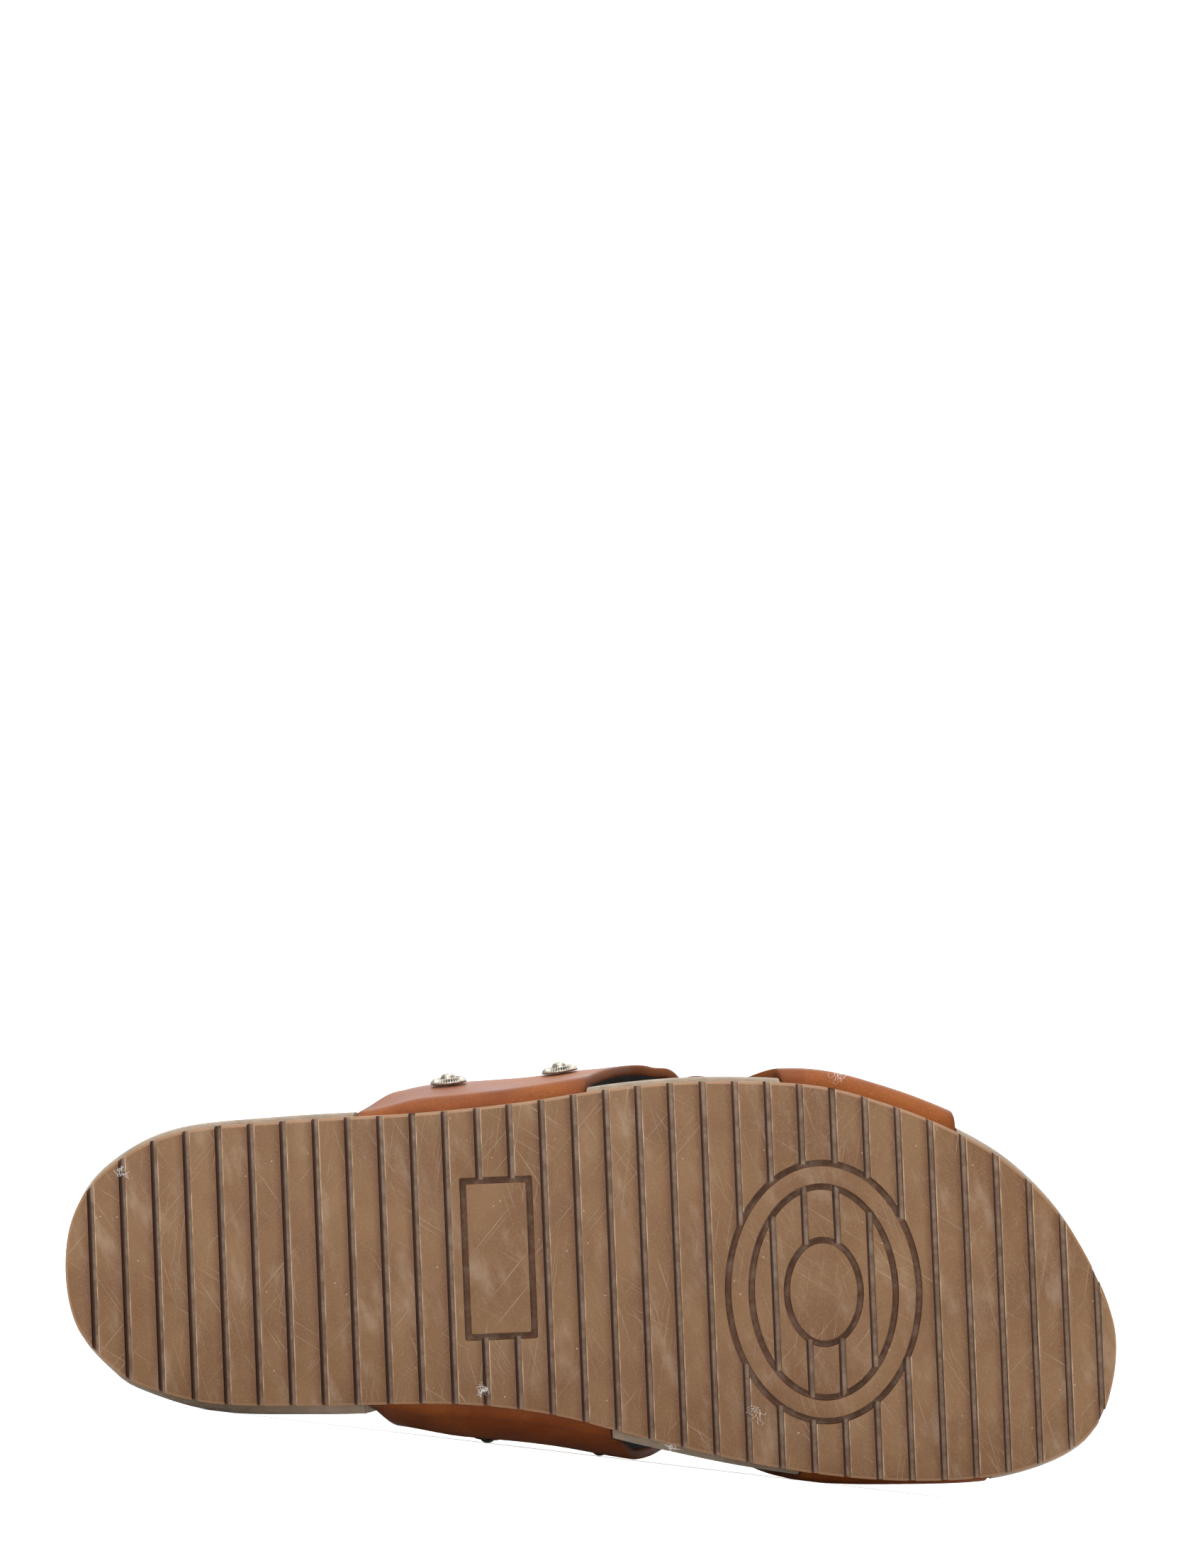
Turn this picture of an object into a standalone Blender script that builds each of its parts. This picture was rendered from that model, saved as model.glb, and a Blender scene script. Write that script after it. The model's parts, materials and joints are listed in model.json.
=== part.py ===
"""Leather slide sandal, a right shoe in EU 41: two crossing straps on a ribbed rubber sole.

The shoe is modelled standing on its sole, X from heel to toe, Y to the big toe side and Z up. It is
then laid on its big toe side, the way it lies when the whole sole faces sideways: row X runs from heel
to toe, row Y is the way from the sole to the top of the straps, and row Z is up. Lengths are in metres.
"""
import math

import bmesh
import bpy
import numpy as np
from mathutils import Matrix, Vector
from mathutils.geometry import intersect_point_tri

# Sole sizes
SOLE_LENGTH = 0.280
HEEL_WIDTH = 0.0757
BALL_WIDTH = 0.1042
OUTSOLE_THICKNESS = 0.0060
HEEL_STACK = 0.0300
FOREFOOT_STACK = 0.0225
TOE_SPRING = 0.0045
OUTSOLE_EDGE = 0.0008
CLEARANCE = 0.0003

# Tread
RIB_PITCH = 0.00864
FIRST_GROOVE = 0.0074
GROOVE_WIDTH = 0.0018
GROOVE_DEPTH = 0.0026
RING_GROOVE_WIDTH = 0.0017
RING_DEPTH_STEP = 0.0002
PAD_LENGTH = 0.0528
PAD_WIDTH = 0.0705
PAD_BAND = 0.0080
PAD_CORE_LENGTH = 0.0180
PAD_CORE_WIDTH = 0.0260
PANEL_LENGTH = 0.0160
PANEL_WIDTH = 0.0400

# Midsole and insole
MIDSOLE_SIDE_BULGE = 0.0012
MIDSOLE_ARCH_BULGE = 0.0029
MIDSOLE_LEAN = 0.0014
MIDSOLE_EDGE = 0.0010
HEEL_CUP_DEPTH = 0.0050
FOREFOOT_DIP = 0.0022
ARCH_RISE = 0.0035
INSOLE_THICKNESS = 0.0020
INSOLE_MARGIN = 0.0042

# Straps
STRAP_THICKNESS = 0.0028
STRAP_WIDTH = 0.0600
INSTEP_HEIGHT = 0.0600
BALL_HEIGHT = 0.0425
TUCK_LENGTH = 0.0060
FOLD_RADIUS = 0.0022
LAP_SINK = 0.0005
LAP_RUN = 0.0130

# Studs
STUD_DIAMETER = 0.0101
STUD_PLATE = 0.0008
STUD_HEIGHT = 0.0030
BALL_DIAMETER = 0.0035

SIDE_POINTS = 40
CAP_COLUMNS = 6
STRAP_COLUMNS = 5
STUD_SEGMENTS = 20
FLAT_ANGLE = 0.3

# The sole's outline, once round from the heel along the little toe side. along is a share of the sole's
# length, across a share of its width there, positive on the big toe side.
OUTLINE_COLUMNS = ("along", "across")
OUTLINE = (
    (0.000, 0.000), (0.010, -0.203), (0.043, -0.357), (0.107, -0.472), (0.214, -0.501), (0.339, -0.509),
    (0.436, -0.494), (0.536, -0.456), (0.621, -0.425), (0.718, -0.401), (0.786, -0.348), (0.846, -0.278),
    (0.893, -0.202), (0.929, -0.115), (0.957, -0.020), (0.981, 0.101), (0.995, 0.202), (1.000, 0.288),
    (0.995, 0.393), (0.979, 0.498), (0.946, 0.569), (0.889, 0.614), (0.821, 0.624), (0.736, 0.605),
    (0.643, 0.557), (0.546, 0.525), (0.457, 0.514), (0.364, 0.518), (0.236, 0.506), (0.136, 0.483),
    (0.071, 0.413), (0.043, 0.347), (0.010, 0.202),
)
TOE_ROW = 17
WAIST_START = 0.35
WAIST_RUN = 0.30
SPRING_START = 0.62
PAD_CENTRE = (0.7207, 0.1290)
PANEL_CENTRE = (0.4125, 0.0090)

# What the straps' inside follows. along is a share of the sole's length. base and bulge are how far the
# inside stands out past the sole's edge, at the fold and at the widest point, as shares of the strap's
# thickness. widest is the height of that point above the fold, as a share of the instep height. crown is
# the height of the top above the footbed, as a share of the way from the ball height to the instep height.
SECTION_COLUMNS = ("along", "lateral_base", "lateral_bulge", "lateral_widest",
                   "medial_base", "medial_bulge", "medial_widest", "crown")
SECTIONS = (
    (0.27, 0.40, 0.90, 0.52, 0.40, 1.50, 0.20, 1.50),
    (0.36, 0.50, 1.79, 0.55, 0.57, 2.72, 0.20, 1.29),
    (0.45, 0.50, 1.50, 0.55, 0.50, 2.62, 0.19, 1.07),
    (0.54, 0.54, 1.14, 0.46, 0.21, 1.80, 0.17, 0.72),
    (0.62, 0.61, 0.71, 0.26, 0.07, 0.50, 0.20, 0.34),
    (0.70, 0.64, 0.68, 0.16, 0.18, 0.25, 0.13, -0.02),
    (0.80, 0.68, 0.72, 0.10, -0.32, -0.25, 0.08, -0.46),
    (0.90, 0.79, 0.80, 0.08, -0.20, -0.14, 0.07, -0.85),
)
CROWN_SHIFT = 0.060
LATERAL_FULLNESS = 2.6
MEDIAL_FULLNESS = 2.2

# Where each strap's legs meet the sole: centres as shares of the sole's length, widths of the strap's.
STRAP_COLUMNS_NAMED = ("name", "lateral_centre", "lateral_width", "medial_centre", "medial_width")
STRAPS = (
    ("over", 0.3886, 1.050, 0.7864, 0.847),
    ("under", 0.7727, 0.775, 0.3946, 1.107),
)

# Studs: name, side (-1 little toe side, 1 big toe side), share of the sole's length, share of the
# instep height above the floor.
STUDS = (
    ("stud_lateral_rear", -1, 0.369, 0.50),
    ("stud_lateral_front", -1, 0.479, 0.50),
    ("stud_medial_rear", 1, 0.394, 0.63),
    ("stud_medial_front", 1, 0.505, 0.63),
)

# Rough densities, only for the point that the lying shoe balances over
DENSITY = {"outsole": 1200, "midsole": 300, "insole": 900, "upper": 900, "stud": 8500}

MATERIALS = {
    "outsole": ((0.235, 0.135, 0.072), 0.55, 0.0),
    "midsole": ((0.29, 0.21, 0.145), 0.90, 0.0),
    "insole": ((0.30, 0.21, 0.14), 0.85, 0.0),
    "upper": ((0.30, 0.105, 0.042), 0.45, 0.0),
    "stud": ((0.42, 0.38, 0.33), 0.35, 1.0),
}


def smooth(share):
    share = min(max(share, 0.0), 1.0)
    return share * share * (3.0 - 2.0 * share)


def blend(low, high, share):
    return low + (high - low) * share


def width_at(along):
    return blend(HEEL_WIDTH, BALL_WIDTH, smooth((along - WAIST_START) / WAIST_RUN))


def rise(x):
    """Toe spring: how far the sole's underside lifts at x."""
    share = max(x / SOLE_LENGTH - SPRING_START, 0.0) / (1.0 - SPRING_START)
    return TOE_SPRING * share * share


def catmull_rom(points, steps):
    """A smooth open curve through the points, the first and last of which only steer it."""
    curve = []
    for a, b, c, d in zip(points, points[1:], points[2:], points[3:]):
        for step in range(steps):
            t = step / steps
            curve.append(0.5 * (2 * b + (c - a) * t + (2 * a - 5 * b + 4 * c - d) * t * t
                                + (3 * b - a - 3 * c + d) * t * t * t))
    curve.append(points[-2])
    return np.array(curve)


def spread(curve, shares):
    """Points of a polyline at shares of its length."""
    lengths = np.concatenate(([0.0], np.cumsum(np.linalg.norm(np.diff(curve, axis=0), axis=1))))
    wanted = np.asarray(shares) * lengths[-1]
    return np.column_stack([np.interp(wanted, lengths, curve[:, k]) for k in range(curve.shape[1])])


def make_outline():
    """The sole's outline and its outward normals: heel, little toe side, toe, big toe side."""
    rows = [np.array((along * SOLE_LENGTH, across * width_at(along))) for along, across in OUTLINE]
    count = len(rows)
    steps = np.arange(SIDE_POINTS) / SIDE_POINTS
    shares = steps - 0.35 * np.sin(2 * math.pi * steps) / (2 * math.pi)
    halves = []
    for first, last in ((0, TOE_ROW), (TOE_ROW, count)):
        loop = [rows[k % count] for k in range(first - 1, last + 2)]
        halves.append(spread(catmull_rom(loop, 12), shares))
    points = np.vstack(halves)
    tangents = np.roll(points, -1, axis=0) - np.roll(points, 1, axis=0)
    tangents /= np.linalg.norm(tangents, axis=1)[:, None]
    normals = np.column_stack((tangents[:, 1], -tangents[:, 0]))
    if np.dot(normals[0], (-1.0, 0.0)) < 0:
        normals = -normals
    return points, normals


POINTS, NORMALS = make_outline()


def edge_at(x, side):
    """The sole edge's distance from the axis at x on one side, and how much of its normal is sideways."""
    half = slice(0, SIDE_POINTS + 1) if side < 0 else slice(SIDE_POINTS, 2 * SIDE_POINTS)
    xs, ys, ns = POINTS[half, 0], POINTS[half, 1], NORMALS[half, 1]
    order = np.argsort(xs)
    return side * np.interp(x, xs[order], ys[order]), abs(np.interp(x, xs[order], ns[order]))


def new_object(name, bm, slot, root):
    mesh = bpy.data.meshes.new(name)
    bm.to_mesh(mesh)
    bm.free()
    item = bpy.data.objects.new(name, mesh)
    bpy.context.scene.collection.objects.link(item)
    item.data.materials.append(material(slot))
    item.parent = root
    return item


def material(slot):
    found = bpy.data.materials.get(slot)
    if found:
        return found
    colour, roughness, metallic = MATERIALS[slot]
    made = bpy.data.materials.new(slot)
    made.use_nodes = True
    shader = made.node_tree.nodes["Principled BSDF"]
    shader.inputs["Base Color"].default_value = (*colour, 1.0)
    shader.inputs["Roughness"].default_value = roughness
    shader.inputs["Metallic"].default_value = metallic
    return made


def cutter(name, bm, root):
    """A solid that only cuts: it is never part of the shoe."""
    item = new_object(name, bm, "outsole", root)
    item.hide_render = True
    item.display_type = "WIRE"
    return item


def boolean(item, other, operation):
    change = item.modifiers.new(operation.lower(), "BOOLEAN")
    change.object = other
    change.operation = operation
    change.solver = "EXACT"


def settle_mesh(item):
    """Replace an object's mesh by what its modifiers make of it."""
    bpy.context.view_layer.update()
    seen = item.evaluated_get(bpy.context.evaluated_depsgraph_get())
    mesh = bpy.data.meshes.new_from_object(seen)
    item.modifiers.clear()
    item.data = mesh
    mesh.name = item.name


def remove(item):
    bpy.data.objects.remove(item, do_unlink=True)


def add_ring(bm, offsets, heights):
    """Vertices round the sole: the outline moved out by an offset for each point, at a height each."""
    spots = POINTS + NORMALS * np.asarray(offsets)[:, None]
    return [bm.verts.new((x, y, z)) for (x, y), z in zip(spots, heights)]


def add_wall(bm, low, high):
    for k in range(len(low)):
        n = (k + 1) % len(low)
        bm.faces.new((low[k], high[k], high[n], low[n]))


def add_cap(bm, ring, columns, height, upward):
    """Close a ring with rows of quads from side to side. height(x, t) gives z, with t from -1 to 1."""
    rows = []
    for k in range(1, SIDE_POINTS):
        left, right = ring[k], ring[-k]
        row = [left]
        for c in range(1, columns):
            share = c / columns
            spot = left.co.lerp(right.co, share)
            spot.z = height(spot.x, 2.0 * share - 1.0)
            row.append(bm.verts.new(spot))
        rows.append(row + [right])

    def face(*corners):
        bm.faces.new(corners if upward else corners[:1] + corners[:0:-1])

    for c in range(columns):
        face(ring[0], rows[0][c], rows[0][c + 1])
        face(rows[-1][c], ring[SIDE_POINTS], rows[-1][c + 1])
        for low, high in zip(rows, rows[1:]):
            face(low[c], high[c], high[c + 1], low[c + 1])


def finish_faces(bm):
    """Triangles with the same diagonal in each quad, so that surfaces that follow each other stay clear."""
    bmesh.ops.triangulate(bm, faces=bm.faces[:], quad_method="FIXED")
    bmesh.ops.recalc_face_normals(bm, faces=bm.faces[:])


def add_box(bm, corners_low, corners_high):
    """A prism between two loops of the same number of corners."""
    low = [bm.verts.new(c) for c in corners_low]
    high = [bm.verts.new(c) for c in corners_high]
    bm.faces.new(low[::-1])
    bm.faces.new(high)
    for k in range(len(low)):
        n = (k + 1) % len(low)
        bm.faces.new((low[k], low[n], high[n], high[k]))


class Ring:
    """A closed groove round a place in the tread, an oval or a rounded panel."""

    def __init__(self, centre, length, width, power, segments):
        self.x = centre[0] * SOLE_LENGTH
        self.y = centre[1] * BALL_WIDTH
        self.half_x = length / 2
        self.half_y = width / 2
        self.power = power
        self.segments = segments

    def reach(self, x):
        """Half of the ring's width at x, or None where x is past its end."""
        share = abs(x - self.x) / self.half_x
        if share >= 1.0:
            return None
        return self.half_y * (1.0 - share ** self.power) ** (1.0 / self.power)

    def loop(self, offset):
        spots = []
        for k in range(self.segments):
            angle = 2 * math.pi * (k + 0.5) / self.segments
            c, s = math.cos(angle), math.sin(angle)
            x = math.copysign(abs(c) ** (2 / self.power), c) * (self.half_x + offset)
            y = math.copysign(abs(s) ** (2 / self.power), s) * (self.half_y + offset)
            spots.append((self.x + x, self.y + y))
        return spots

    def cut(self, bm):
        """The ring's groove, as a solid that reaches below the tread."""
        walls = []
        for offset in (-RING_GROOVE_WIDTH / 2, RING_GROOVE_WIDTH / 2):
            loop = self.loop(offset)
            walls.append([bm.verts.new((x, y, -RIB_PITCH)) for x, y in loop])
            depth = GROOVE_DEPTH - RING_DEPTH_STEP
            walls.append([bm.verts.new((x, y, depth + rise(x))) for x, y in loop])
        inner_low, inner_high, outer_low, outer_high = walls
        for k in range(self.segments):
            n = (k + 1) % self.segments
            bm.faces.new((inner_low[n], inner_high[n], inner_high[k], inner_low[k]))
            bm.faces.new((outer_low[k], outer_high[k], outer_high[n], outer_low[n]))
            bm.faces.new((inner_high[k], inner_high[n], outer_high[n], outer_high[k]))
            bm.faces.new((inner_low[n], inner_low[k], outer_low[k], outer_low[n]))


def tread_rings():
    """Panel, then the pad's outer edge, the inside of its band, and its core."""
    inner_length = PAD_LENGTH - 2 * PAD_BAND
    inner_width = PAD_WIDTH - 2 * PAD_BAND
    return (
        Ring(PANEL_CENTRE, PANEL_LENGTH + RING_GROOVE_WIDTH, PANEL_WIDTH + RING_GROOVE_WIDTH, 12.0, 28),
        Ring(PAD_CENTRE, PAD_LENGTH - RING_GROOVE_WIDTH, PAD_WIDTH - RING_GROOVE_WIDTH, 2.0, 48),
        Ring(PAD_CENTRE, inner_length + RING_GROOVE_WIDTH, inner_width + RING_GROOVE_WIDTH, 2.0, 40),
        Ring(PAD_CENTRE, PAD_CORE_LENGTH + RING_GROOVE_WIDTH, PAD_CORE_WIDTH + RING_GROOVE_WIDTH, 2.0, 24),
    )


def groove_stretches(x, rings):
    """Where the straight groove at x is cut, from one side of the sole to the other.

    It stops at the panel and at the pad's band, and is cut between the band and the core.
    """
    panel, outer, inner, core = rings
    reach = BALL_WIDTH
    marks = [-reach, reach]
    if panel.reach(x):
        marks = [-reach, panel.y - panel.half_y, panel.y + panel.half_y, reach]
    elif outer.reach(x):
        marks = [-reach, -outer.reach(x), outer.reach(x), reach]
        if inner.reach(x):
            marks[2:2] = [-inner.reach(x), inner.reach(x)]
            if core.reach(x):
                marks[3:3] = [-core.reach(x), core.reach(x)]
        marks = [marks[0]] + [outer.y + mark for mark in marks[1:-1]] + [marks[-1]]
    return list(zip(marks[0::2], marks[1::2]))


def make_outsole(root):
    bm = bmesh.new()
    count = len(POINTS)
    lift = [rise(x) for x in POINTS[:, 0]]
    foot = add_ring(bm, [-OUTSOLE_EDGE] * count, lift)
    edge = add_ring(bm, [0.0] * count, [OUTSOLE_EDGE + z for z in lift])
    top = add_ring(bm, [0.0] * count, [OUTSOLE_THICKNESS + z for z in lift])
    add_wall(bm, foot, edge)
    add_wall(bm, edge, top)
    add_cap(bm, foot, 1, None, False)
    add_cap(bm, top, 1, None, True)
    finish_faces(bm)
    outsole = new_object("outsole", bm, "outsole", root)

    rings = tread_rings()
    bm = bmesh.new()
    x = FIRST_GROOVE
    while x < SOLE_LENGTH - GROOVE_WIDTH:
        depth = GROOVE_DEPTH + rise(x)
        near, far = x - GROOVE_WIDTH / 2, x + GROOVE_WIDTH / 2
        for low, high in groove_stretches(x, rings):
            corners = ((near, low), (far, low), (far, high), (near, high))
            add_box(bm, [(a, b, -RIB_PITCH) for a, b in corners], [(a, b, depth) for a, b in corners])
        x += RIB_PITCH
    straight = cutter("straight_grooves", bm, root)
    boolean(outsole, straight, "DIFFERENCE")

    round_cutters = []
    for ring in rings:
        bm = bmesh.new()
        ring.cut(bm)
        finish_faces(bm)
        item = cutter("ring_groove", bm, root)
        boolean(outsole, item, "DIFFERENCE")
        round_cutters.append(item)
    settle_mesh(outsole)
    for item in [straight] + round_cutters:
        remove(item)
    bm = bmesh.new()
    bm.from_mesh(outsole.data)
    bmesh.ops.dissolve_limit(bm, angle_limit=math.radians(FLAT_ANGLE), verts=bm.verts[:], edges=bm.edges[:])
    bmesh.ops.triangulate(bm, faces=bm.faces[:])
    bm.to_mesh(outsole.data)
    bm.free()
    return outsole


def rim_height(x, t):
    """The footbed's rim above the floor. t runs from -1, little toe side, to 1, big toe side."""
    along = x / SOLE_LENGTH
    stack = blend(HEEL_STACK, FOREFOOT_STACK, smooth((along - 0.22) / 0.45))
    arch = ARCH_RISE * max(t, 0.0) ** 2 * smooth((along - 0.22) / 0.16) * smooth((0.66 - along) / 0.20)
    return stack + arch + rise(x)


def footbed(x, t):
    """The height of the insole's top."""
    along = x / SOLE_LENGTH
    dip = blend(HEEL_CUP_DEPTH, FOREFOOT_DIP, smooth((along - 0.20) / 0.35))
    ends = smooth(along / 0.14) * smooth((1.0 - along) / 0.10)
    return rim_height(x, t) - dip * ends * (1.0 - t * t)


def point_sides():
    """-1 or 1 for each outline point, easing through 0 at heel and toe."""
    return np.clip(NORMALS[:, 1] * 1.3, -1.0, 1.0)


def arch_share(along):
    """How much of the arch bulge the midsole has on its big toe side: all in the waist, half at the ball."""
    return 0.5 + 0.5 * smooth(along / 0.20) * smooth((0.75 - along) / 0.30)


def make_midsole(root):
    sides = point_sides()
    xs = POINTS[:, 0]
    rim = np.array([rim_height(x, t) for x, t in zip(xs, sides)])
    floor = np.array([OUTSOLE_THICKNESS + CLEARANCE + rise(x) for x in xs])
    arch = [MIDSOLE_ARCH_BULGE * arch_share(x / SOLE_LENGTH) for x in xs]
    bulge = np.where(sides < 0, MIDSOLE_SIDE_BULGE * -sides, arch * np.maximum(sides, 0.0))
    recess = -INSOLE_MARGIN + CLEARANCE
    bm = bmesh.new()
    rings = [
        add_ring(bm, bulge - 2 * MIDSOLE_EDGE, floor),
        add_ring(bm, bulge, floor + 2.2 * MIDSOLE_EDGE),
        add_ring(bm, bulge - 0.3 * MIDSOLE_LEAN, blend(floor, rim, 0.5)),
        add_ring(bm, bulge - MIDSOLE_LEAN, rim - 1.2 * MIDSOLE_EDGE),
        add_ring(bm, bulge - MIDSOLE_LEAN - 0.6 * MIDSOLE_EDGE, rim - 0.3 * MIDSOLE_EDGE),
        add_ring(bm, bulge - MIDSOLE_LEAN - 1.5 * MIDSOLE_EDGE, rim),
        add_ring(bm, np.full(len(xs), recess), rim),
        add_ring(bm, np.full(len(xs), recess), rim - INSOLE_THICKNESS - CLEARANCE),
    ]
    for low, high in zip(rings, rings[1:]):
        add_wall(bm, low, high)
    add_cap(bm, rings[0], 1, None, False)
    add_cap(bm, rings[-1], CAP_COLUMNS, lambda x, t: footbed(x, t) - INSOLE_THICKNESS - CLEARANCE, True)
    finish_faces(bm)
    return new_object("midsole", bm, "midsole", root)


def make_insole(root):
    sides = point_sides()
    xs = POINTS[:, 0]
    rim = np.array([rim_height(x, t) for x, t in zip(xs, sides)])
    offset = np.full(len(xs), -INSOLE_MARGIN)
    bm = bmesh.new()
    under = add_ring(bm, offset, rim - INSOLE_THICKNESS)
    side = add_ring(bm, offset, rim - 0.35 * INSOLE_THICKNESS)
    top = add_ring(bm, offset - 0.3 * INSOLE_THICKNESS, rim)
    add_wall(bm, under, side)
    add_wall(bm, side, top)
    add_cap(bm, under, CAP_COLUMNS, lambda x, t: footbed(x, t) - INSOLE_THICKNESS, False)
    add_cap(bm, top, CAP_COLUMNS, footbed, True)
    finish_faces(bm)
    return new_object("insole", bm, "insole", root)


def section_value(name, along):
    """A column of the section table at any station, on a smooth curve through its rows."""
    column = SECTION_COLUMNS.index(name)
    rows = np.array(SECTIONS)
    first = rows[0] * 2 - rows[1]
    last = rows[-1] * 2 - rows[-2]
    curve = catmull_rom(list(np.vstack((first, rows, last))), 6)
    return float(np.interp(along, curve[:, 0], curve[:, column]))


def strap_side(x, side):
    """Half of the straps' inside section at x, from the tucked end to the top, as (y, z) rows."""
    along = x / SOLE_LENGTH
    name = "lateral" if side < 0 else "medial"
    power = 2 / (LATERAL_FULLNESS if side < 0 else MEDIAL_FULLNESS)
    edge, sideways = edge_at(x, side)
    base = section_value(name + "_base", along) * STRAP_THICKNESS / sideways
    bulge = section_value(name + "_bulge", along) * STRAP_THICKNESS / sideways
    floor = OUTSOLE_THICKNESS + CLEARANCE + STRAP_THICKNESS + rise(x)
    start = floor + FOLD_RADIUS
    widest = start + section_value(name + "_widest", along) * INSTEP_HEIGHT
    crown = FOREFOOT_STACK + blend(BALL_HEIGHT, INSTEP_HEIGHT, section_value("crown", along)) + rise(x)
    centre = CROWN_SHIFT * BALL_WIDTH
    rows = [(edge + base - FOLD_RADIUS - TUCK_LENGTH, floor)]
    rows.append((edge + base - FOLD_RADIUS - 0.5 * TUCK_LENGTH, floor))
    for step in range(5):
        angle = 0.5 * math.pi * step / 4
        rows.append((edge + base - FOLD_RADIUS + FOLD_RADIUS * math.sin(angle),
                     floor + FOLD_RADIUS * (1.0 - math.cos(angle))))
    for step in range(1, 5):
        share = step / 4
        rows.append((edge + blend(base, bulge, math.sin(0.5 * math.pi * share)),
                     blend(start, widest, share)))
    reach = edge + bulge - side * centre
    for step in range(1, 11):
        angle = 0.5 * math.pi * step / 10
        rows.append((side * centre + reach * math.cos(angle) ** power,
                     widest + (crown - widest) * math.sin(angle) ** power))
    return [(side * y, z) for y, z in rows]


def strap_section(x):
    """The straps' inside section at x, right across the foot."""
    lateral = strap_side(x, -1)
    medial = strap_side(x, 1)
    return np.array([(x, y, z) for y, z in lateral + medial[-2::-1]])


def section_shares():
    """For each point of a section, its place along the strap: 0 and 1 where the legs leave the sole."""
    curve = strap_section(0.58 * SOLE_LENGTH)
    lengths = np.concatenate(([0.0], np.cumsum(np.linalg.norm(np.diff(curve, axis=0), axis=1))))
    start, end = lengths[2], lengths[-3]
    return (lengths - start) / (end - start)


SHARES = section_shares()


def strap_span(row, share):
    """The rear and front edge of a strap at a share of its way across the foot."""
    named = dict(zip(STRAP_COLUMNS_NAMED, row))
    share = min(max(share, 0.0), 1.0)
    centre = blend(named["lateral_centre"], named["medial_centre"], share) * SOLE_LENGTH
    width = blend(named["lateral_width"], named["medial_width"], share) * STRAP_WIDTH
    return centre - width / 2, centre + width / 2


def strap_normals(x):
    """Outward normals of the straps' inside at each point of the section at x."""
    step = 0.001
    along = strap_section(x + step) - strap_section(x - step)
    here = strap_section(x)
    across = np.gradient(here, axis=0)
    normals = np.cross(along, across)
    return here, normals / np.linalg.norm(normals, axis=1)[:, None]


def lap(x, share):
    """How far the over strap is raised to pass over the other one."""
    rear, front = strap_span(STRAPS[1], share)
    outside = max(rear - x, x - front, 0.0)
    return (STRAP_THICKNESS - LAP_SINK) * (1.0 - smooth(outside / LAP_RUN))


def add_strap(bm, row, inner, outer, widen, first, last, raised):
    """A strap as a closed shell between two depths from the straps' common inside."""
    count = len(SHARES)
    grids = ([], [])
    spans = [strap_span(row, SHARES[j]) for j in range(count)]
    cache = {}
    for j in range(first, last):
        rear, front = spans[j]
        lines = ([], [])
        for i in range(STRAP_COLUMNS + 1):
            x = blend(rear - widen, front + widen, i / STRAP_COLUMNS)
            key = round(x, 7)
            if key not in cache:
                cache[key] = strap_normals(x)
            here, normals = cache[key]
            spot = here[j]
            if j in (0, count - 1):
                onward = spot - here[1 if j == 0 else count - 2]
                spot = spot + onward / np.linalg.norm(onward) * widen
            lift = lap(x, SHARES[j]) if raised else 0.0
            lines[0].append(bm.verts.new(spot + normals[j] * (inner + lift)))
            lines[1].append(bm.verts.new(spot + normals[j] * (outer + lift)))
        grids[0].append(lines[0])
        grids[1].append(lines[1])
    inside, outside = grids
    rows = len(inside)
    for j in range(rows - 1):
        for i in range(STRAP_COLUMNS):
            bm.faces.new((inside[j][i], inside[j + 1][i], inside[j + 1][i + 1], inside[j][i + 1]))
            bm.faces.new((outside[j][i], outside[j][i + 1], outside[j + 1][i + 1], outside[j + 1][i]))
        for i in (0, STRAP_COLUMNS):
            bm.faces.new((inside[j][i], outside[j][i], outside[j + 1][i], inside[j + 1][i]))
    for j in (0, rows - 1):
        for i in range(STRAP_COLUMNS):
            bm.faces.new((inside[j][i], inside[j][i + 1], outside[j][i + 1], outside[j][i]))


def make_upper(root):
    solids = []
    for row in STRAPS:
        bm = bmesh.new()
        add_strap(bm, row, 0.0, STRAP_THICKNESS, 0.0, 0, len(SHARES), row[0] == "over")
        finish_faces(bm)
        solids.append(new_object("upper" if not solids else "under_strap", bm, "upper", root))
    upper, under = solids
    under.hide_render = True
    under.display_type = "WIRE"
    boolean(upper, under, "UNION")
    settle_mesh(upper)
    remove(under)
    return upper


def cut_leg_recesses(midsole, root):
    """Room in the midsole for the strap legs and their turned-in ends."""
    leg_points = 13
    count = len(SHARES)
    for row in STRAPS:
        for first, last in ((0, leg_points), (count - leg_points, count)):
            bm = bmesh.new()
            add_strap(bm, row, -CLEARANCE, 2.2 * STRAP_THICKNESS, CLEARANCE, first, last, False)
            finish_faces(bm)
            item = cutter("leg_recess", bm, root)
            boolean(midsole, item, "DIFFERENCE")
            settle_mesh(midsole)
            remove(item)


def stud_profile():
    """Half section of a stud: back plate, raised bead, flat, and a ball with a small tip."""
    radius = STUD_DIAMETER / 2
    ball = BALL_DIAMETER / 2
    bead = STUD_PLATE + 0.42 * (STUD_HEIGHT - STUD_PLATE)
    return (
        (radius, 0.0), (radius, 0.6 * STUD_PLATE), (0.94 * radius, STUD_PLATE),
        (0.88 * radius, 1.5 * STUD_PLATE), (0.76 * radius, bead), (0.62 * radius, 1.4 * STUD_PLATE),
        (0.50 * radius, STUD_PLATE), (1.05 * ball, STUD_PLATE), (ball, 0.52 * STUD_HEIGHT),
        (0.75 * ball, 0.76 * STUD_HEIGHT), (0.32 * ball, 0.90 * STUD_HEIGHT), (0.0, STUD_HEIGHT),
    )


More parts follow.
